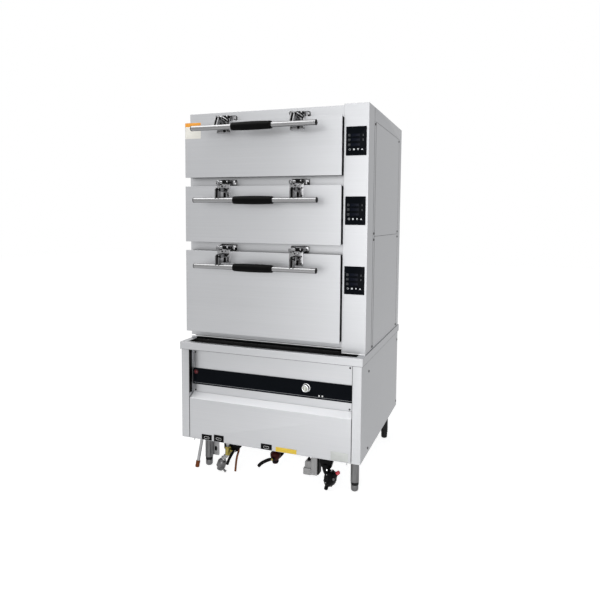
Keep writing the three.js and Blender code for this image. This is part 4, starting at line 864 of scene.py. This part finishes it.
# Much lighter than the sheet: painted highlight for the lit foot of the frame and column.
lit_weld_steel = brushed("lit_weld_sheen", (0.70, 0.705, 0.71), (0.88, 0.885, 0.89), 0.3, (8, 300, 300), 0.1)
weld_y, column_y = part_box("front_frame")[0][1] - 0.0005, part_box("control_column")[0][1] + 0.0004
weld_z, column_z = deck_top + 0.0140, deck_top + 0.0012
for name, start, end, radius in (
        ("frame", (-0.4925, weld_y, weld_z), (0.3705, weld_y, weld_z), 0.0055),
        ("column", (0.3735, column_y, column_z), (0.4925, column_y, column_z), 0.0016)):
    pipe("foot_weld_" + name, lit_weld_steel, "brushed_steel", np.linspace(start, end, 5), radius, 24)
# Black strip under the frame's bead: painted shade.
plate("foot_shadow_strip", rubber, "black_rubber", (-0.0450, weld_y + 0.001, deck_top + 0.0047), 0.832, 0.0090,
      0.0055, 0.001, 0.0004)
stile_y, stile_foot, stile_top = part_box("base_casing")[0][1] + 0.0006, 0.190, 0.657
rim_y, rim_z, rim_back, rim_x = deck_front + 0.002, deck_low[2] - 0.0014, 0.478, 0.4987
stile_x, side_x, cabinet_foot, cabinet_top = 0.4492, 0.494, 0.700, 1.897
fold_y, seam_y = (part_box("control_column")[1][1] + step for step in (-0.0185, 0.0125))
panel_back, panel_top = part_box("side_panel_upper")[1][1:]
panel_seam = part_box("side_panel_upper")[0][2]
for name, start, end, radius in (
        ("rim_front", (-0.4935, stile_y - 0.0006, rim_z), (0.4935, stile_y - 0.0006, rim_z), 0.0016),
        ("rim_right", (rim_x, rim_y, rim_z), (rim_x, rim_back, rim_z), 0.0013),
        ("rim_left", (-rim_x, rim_y, rim_z), (-rim_x, rim_back, rim_z), 0.0013),
        ("stile_right", (stile_x, stile_y, stile_foot), (stile_x, stile_y, stile_top), 0.0015),
        ("stile_left", (-stile_x, stile_y, stile_foot), (-stile_x, stile_y, stile_top), 0.0012),
        ("column_fold", (side_x, fold_y, cabinet_foot), (side_x, fold_y, cabinet_top), 0.0013),
        ("column_seam", (side_x, seam_y, cabinet_foot), (side_x, seam_y, panel_top), 0.0014),
        ("panel_top", (side_x, seam_y, panel_top), (side_x, panel_back, panel_top), 0.0011),
        ("panel_seam", (side_x, seam_y, panel_seam), (side_x, panel_back, panel_seam), 0.0012),
        ("panel_back", (side_x, panel_back, cabinet_foot), (side_x, panel_back, panel_top), 0.0010),
        ("deck_right", (0.4935, -0.345, deck_top + 0.0006), (0.4935, 0.470, deck_top + 0.0006), 0.0012)):
    flat_way = upward if start[2] == end[2] else (0, 1, 0) if start[0] > stile_x else rightward
    pipe("shadow_bead_" + name, shadow_line_paint, "black_rubber", np.linspace(start, end, 5), radius, 10, 0.5,
         np.cross(np.subtract(end, start), flat_way))


# Screws. Small pan heads with a cross recess hold the side panels, the base's sides, the fascia
# and the back.
def screws(name, spots, out, material, body="cabinet", radius=0.0042):
    """Pan heads: at radius r and angle a the height is 0.55 R x sqrt(1 - (r / R) squared x 0.9), less
    0.3 R where the point lies in one of two bars across the middle, 1.24 R long and 0.22 R wide."""
    out = np.array(out, float)
    across = np.cross(out, upward) if abs(out[2]) < 0.9 else np.array([1.0, 0.0, 0.0])
    beside = np.cross(out, across)
    share = np.array([1, 1, 0.97, 0.9, 0.8, 0.68, 0.6, 0.5, 0.38, 0.25, 0.14, 0.0])
    angle = np.arange(40) * math.pi / 20
    x, y = share * np.cos(angle)[:, None], share * np.sin(angle)[:, None]
    recess = ((np.minimum(abs(x), abs(y)) < 0.11) & (share < 0.62)[None]).astype(float)
    height = 0.55 * np.sqrt(1 - 0.9 * share ** 2) - 0.3 * recess
    height[:, 0] = -0.05
    spot = np.array(spots, float)[:, None, None, :]
    head = radius * (x[..., None] * across + y[..., None] * beside + height[..., None] * out)
    back = np.broadcast_to(-0.05 * radius * out, (40, 1, 3))
    knit(name, spot + np.concatenate([back, head], 1)[None], material, "hardware_steel", body, crease=50)


screw_steel = brushed("screw_steel", 0.02, 0.08, 0.35, 200, 0.1)
right_side, back_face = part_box("base_casing")[1][0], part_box("cabinet_shell")[1][1]
base_spots = [(-0.2720, 0.6000), (-0.2720, 0.2060), (0.4550, 0.6050), (0.4550, 0.2120)]
screws("side_screws", [(right_side, y, z) for y, z in (
    (-0.2185, 1.2840), (-0.2185, 1.2530), (0.3890, 1.2840), (0.3890, 1.2530), (-0.2185, 0.7130),
    (0.3890, 0.7150), (-0.2185, 1.8200), (0.3890, 1.8200), *base_spots)],
    rightward, screw_steel, radius=0.0066)
screws("left_screws", [(-right_side, y, z) for y, z in base_spots], (-1, 0, 0), screw_steel)
screws("fascia_screws", [(x, fascia_face, z) for x in (-0.434, 0.426) for z in (0.636, 0.431)], forward,
       screw_steel, radius=0.0048)
screws("back_screws", [(x, back_face, z) for x in (-0.475, 0.475)
                       for z in (0.23, 0.43, 0.63, 0.74, 1.0, 1.28, 1.56, 1.86)]
       + [(0, back_face, 0.74), (0, back_face, 1.86)], (0, 1, 0), screw_steel)


# Hinges. Cast brackets hold a pin with a torsion spring; a black band round each bracket is painted shade for
# the gap behind its plate, and the black spring and pin are painted shade round the knuckle.
# The leaf on the door has a barrel round the pin and countersunk screws; a black curved rod on it, where a
# hook that the handle's arm works would be, is painted shade for the dark gap between the castings, and a
# black block beside the arm is a painted shadow.
# On the top door a stay before a wider black band takes the rod's place; the band is painted shade along the
# stay's edges.
hardware = brushed("tumbled_casting", (0.13, 0.13, 0.135), (0.42, 0.42, 0.43), 0.24, 55, 0.35)
coil_turns, coil_radius = np.linspace(0, 1, 150), 0.0076
leaf_thick, leaf_rise, leaf_tall = 0.0042, 0.012, 0.075


def wire(name, material, slot, body, corner, points, radius, tip, steps=30, sides=16, flat=1.0):
    """A bent rod with narrow tips, through points that are given from a corner."""
    path = eased(corner + np.array(points), steps)
    pipe(name, material, slot, path, [tip] + [radius] * (steps - 2) + [tip], sides, flat, body=body)


for door, side in [(f"door_{number}", side) for number in (1, 2, 3) for side in ("left", "right")]:
    face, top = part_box(door + "_panel")[0][1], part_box(door + "_panel")[1][2]
    leaf_face = face - leaf_thick
    bracket, leaf = f"{door}_hinge_{side}", f"{door}_leaf_{side}"
    softened(bracket, hardware, 0.0012)
    low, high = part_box(bracket)
    pivot, back = middle_of(bracket, low[1] + 0.0096), middle_of(bracket, high[1] - 0.005)
    x = pivot[0]
    corner = np.array([x, 0, top])
    # A black band round the bracket's plate: painted shade for the gap behind it.
    shadow_pad_section = [(-0.0014, -0.0045), (-0.0014, 0.0004), (-0.0006, 0.0012), (0.0002, 0.0012), (0.0007, 0.0006),
           (0.0007, -0.0045)]
    knit(bracket + "_shadow_pad", frames(back, 0.094, 0.030, shadow_pad_section, 0.006), black_steel, "hardware_steel",
         wrap=(True, True))
    screws(bracket + "_screws", [back + (way, 0, 0) for way in (-0.037, 0.039)], forward, cast_steel,
           radius=0.0032)
    plate(leaf + "_plate", hardware, "hardware_steel", (x, face, top + leaf_rise - leaf_tall / 2), 0.075,
          leaf_tall, leaf_thick, 0.005, 0.0012, body=door, hides=leaf)
    spin(leaf + "_barrel", hardware, "hardware_steel",
         [(4.2, 0), (8, 0), (8.8, 0.8), (8.8, 14.5), (8, 15.3), (5.8, 15.6), (5.8, 38.6), (5.2, 39.2),
          (4.2, 39.2)], pivot - (0.0196, 0, 0), rightward, 40, body=door)
    # The spring and the pin are drawn black: painted shade round the knuckle.
    coil = pivot + np.stack([0.0205 * coil_turns - 0.0022, coil_radius * np.cos(coil_turns * 13 * math.pi),
                             coil_radius * np.sin(coil_turns * 13 * math.pi)], -1)
    pipe(bracket + "_spring", black_steel, "hardware_steel", coil, 0.0012, 10, beside=(1, 0.01, 0.02))
    spin(bracket + "_pin", black_steel, "hardware_steel",
         [(0, 0), (4.0, 0), (4.0, 3.5), (7.6, 3.8), (7.6, 6.0), (6.4, 7.6), (0, 8)],
         pivot + (0.0272, 0, 0), rightward, 28)
    screws(leaf + "_screws", [(x + way, leaf_face, top + drop) for way, drop in
                              ((0.028, -0.014), (0.028, -0.050), (-0.029, -0.050))],
           forward, screw_steel, door, 0.0044)
    wire(leaf + "_claw", hardware, "hardware_steel", door, corner,
         [(-0.0285, -0.3790, 0.0020), (-0.0325, -0.3850, 0.0120), (-0.0290, -0.3900, 0.0215),
          (-0.0200, -0.3910, 0.0245), (-0.0130, -0.3880, 0.0200)], 0.0034, 0.0012)
    spin(leaf + "_studs", black_steel, "hardware_steel", [(0, 0), (4.2, 0), (4.2, 3), (3.4, 4), (0, 4.2)],
         [(x - 0.0145, leaf_face + 0.001, top + 0.0085), (x - 0.0075, leaf_face + 0.001, top - 0.0015)],
         sides=24, body=door)
    spin(leaf + "_stop", hardware, "hardware_steel",
         [(0, 0), (5.0, 0), (5.4, 1), (5.4, 5), (4.6, 6.4), (2.6, 7), (0, 7.2)],
         (x + 0.0080, leaf_face, top + 0.0015), sides=28, body=door)
    # A black block right of the arm's cheek: painted shadow that the arm casts on the leaf.
    plate(leaf + "_shadow_block", rubber, "black_rubber", (x + 0.0075, leaf_face, top - 0.046), 0.010, 0.026,
          0.006, 0.0045, 0.002, body=door)
    plate(leaf + "_lug", black_steel, "black_casting", (x + 0.0003, leaf_face + 0.001, top - 0.020), 0.009,
          0.022, 0.0155, 0.004, 0.0015, body=door)
    # Black curved rod: painted shade for the dark gap between the bright castings.
    if door != "door_1":
        wire(leaf + "_dark_gap_rod", black_steel, "black_casting", door, corner,
             [(0.0040, -0.3850, 0.0215), (0.0130, -0.3860, 0.0205), (0.0215, -0.3865, 0.0140),
              (0.0330, -0.3850, 0.0085)], 0.0036, 0.0018, flat=0.8)
    else:
        stay = [(0.0050, -0.3850, 0.0170), (0.0205, -0.3865, 0.0075), (0.0350, -0.3850, -0.0030)]
        # A wider flat black band behind the stay: painted shade along the stay's two edges.
        wire(leaf + "_stay_shadow_band", black_steel, "black_casting", door, corner, stay, 0.0095, 0.004, 20, 20,
             0.25)
        wire(leaf + "_stay", hardware, "hardware_steel", door, corner - (0, 0.003, 0), stay, 0.0036, 0.002,
             20)


# Handles. A polished tube on two cranked arms, with black rubber plugs in its ends and a barrel grip
# of moulded rubber round its middle. Pins and buttons of black steel hold the arms.
polished = brushed("polished_tube", (0.21, 0.21, 0.214), (0.29, 0.29, 0.294), 0.27, (1.5, 500, 500), 0.02)
arm_casting = brushed("dark_casting", (0.02, 0.02, 0.021), (0.24, 0.24, 0.245), 0.26, 75, 0.3)
arm_step, arm_drop, root_y, cheek_way, plug_way = 0.0065, 0.020, -0.384885, 0.0084, 0.004


def link(start, end, radii, half_thick):
    """A flat arm in a plane of constant X: its outline is a half circle about each end, joined by
    straight flanks, and its two faces are eased by 1 mm all round."""
    steps = 24
    start, end = np.array(start, float), np.array(end, float)
    heading = math.atan2(end[2] - start[2], end[1] - start[1])
    turn = np.concatenate([np.linspace(-90, 90, steps), np.linspace(90, 270, steps)])
    angle = turn * math.pi / 180 + heading
    hubs = np.repeat([end, start], steps, 0)
    sizes = np.repeat([radii[1], radii[0]], steps)
    way = np.stack([np.zeros_like(angle), np.cos(angle), np.sin(angle)], -1)
    edge = np.array([(1.0, -1.0), (0.0, -0.75), (0.0, 0.75), (1.0, 1.0)])
    rim = hubs[:, None] + (sizes[:, None] - 0.001 * edge[None, :, 0])[..., None] * way[:, None]
    rim[..., 0] += half_thick * edge[None, :, 1]
    middle = (start + end) / 2
    faces = [np.broadcast_to(middle + (side * half_thick, 0, 0), (2 * steps, 1, 3)) for side in (-1, 1)]
    return np.concatenate([faces[0], rim, faces[1]], 1)[None]


for number in (1, 2, 3):
    handle, grip, bar_node = f"handle_{number}", f"door_{number}_grip", f"door_{number}_handle"
    low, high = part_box(grip)
    bar = middle_of(grip)
    ends = [corner[0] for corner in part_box(bar_node)]
    span = (ends[1] - ends[0]) * 1000 - 4
    spin(f"{handle}_tube", polished, "polished_steel",
         [(11, 0), (12.2, 0), (13, 0.8), (13, span - 0.8), (12.2, span), (11, span)],
         (ends[0] + 0.002, bar[1], bar[2]), rightward, 48, body=handle, hides=bar_node)
    for side, end, way in (("left", ends[0] + plug_way, -1), ("right", ends[1] - plug_way, 1)):
        spin(f"{handle}_plug_{side}", rubber, "black_plastic",
             [(0, -6), (10.9, -6), (10.9, 0), (13.3, 0.2), (13.6, 1.2), (13.6, 3), (12.6, 4), (0, 4.4)],
             (end, bar[1], bar[2]), (way, 0, 0), 40, body=handle)
    root_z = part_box(f"door_{number}_panel")[1][2] - arm_drop
    for side in ("left", "right"):
        x = middle_of(f"door_{number}_leaf_{side}")[0] + arm_step
        root, tip = np.array([x, root_y, root_z]), np.array([x, bar[1], bar[2]])
        elbow = root + 0.535 * (tip - root) + 0.474 * np.cross(tip - root, (1.0, 0, 0))
        cheeks = [link(start + (way, 0, 0), end + (way, 0, 0), radii, 0.0034)
                  for start, end, radii in ((root, elbow, (0.0105, 0.0095)), (elbow, tip, (0.0095, 0.0115)))
                  for way in (-cheek_way, cheek_way)]
        knit(f"{handle}_arm_{side}", np.concatenate(cheeks), arm_casting, "polished_steel", handle)
        # Black rubber between the arm's cheeks: painted shade for the deep slot.
        shares = np.array([0.16, 0.22, 0.4, 0.78, 0.84])[:, None]
        pipe(f"{handle}_slot_shade_{side}", rubber, "black_rubber", elbow + (tip - elbow) * shares,
             [0.0036, 0.0052, 0.0052, 0.0052, 0.0036], 20, 1.4, rightward, body=handle)
        spin(f"{handle}_pin_{side}", black_steel, "hardware_steel",
             [(0, 0), (5.2, 0), (5.6, 0.6), (5.6, 30.4), (5.2, 31), (0, 31)], root - (0.0155, 0, 0),
             rightward, 28, body=handle)
        spin(f"{handle}_button_{side}", black_steel, "hardware_steel",
             [(0, 0), (4.6, 0), (4.6, 3.4), (3.8, 4.4), (0, 4.8)], elbow + (0.0075, -0.0055, 0.0), sides=28,
             body=handle)
    half = (high[0] - low[0]) * 500
    t = np.linspace(-1, 1, 41)
    barrel = 18.9 + 2.1 * np.cos(t * math.pi / 2) + 0.8 * np.exp(-((abs(t) - 0.975) / 0.012) ** 2)
    barrel *= np.where(abs(t) > 0.995, 0.93, 1)
    profile = np.concatenate([[(13.4, 1)], np.stack([barrel, half * (t + 1)], -1), [(13.4, 2 * half - 1)]])
    spin(f"{handle}_grip", rubber, "black_rubber", profile, (low[0], bar[1], bar[2]), rightward, 56,
         body=handle, hides=grip)
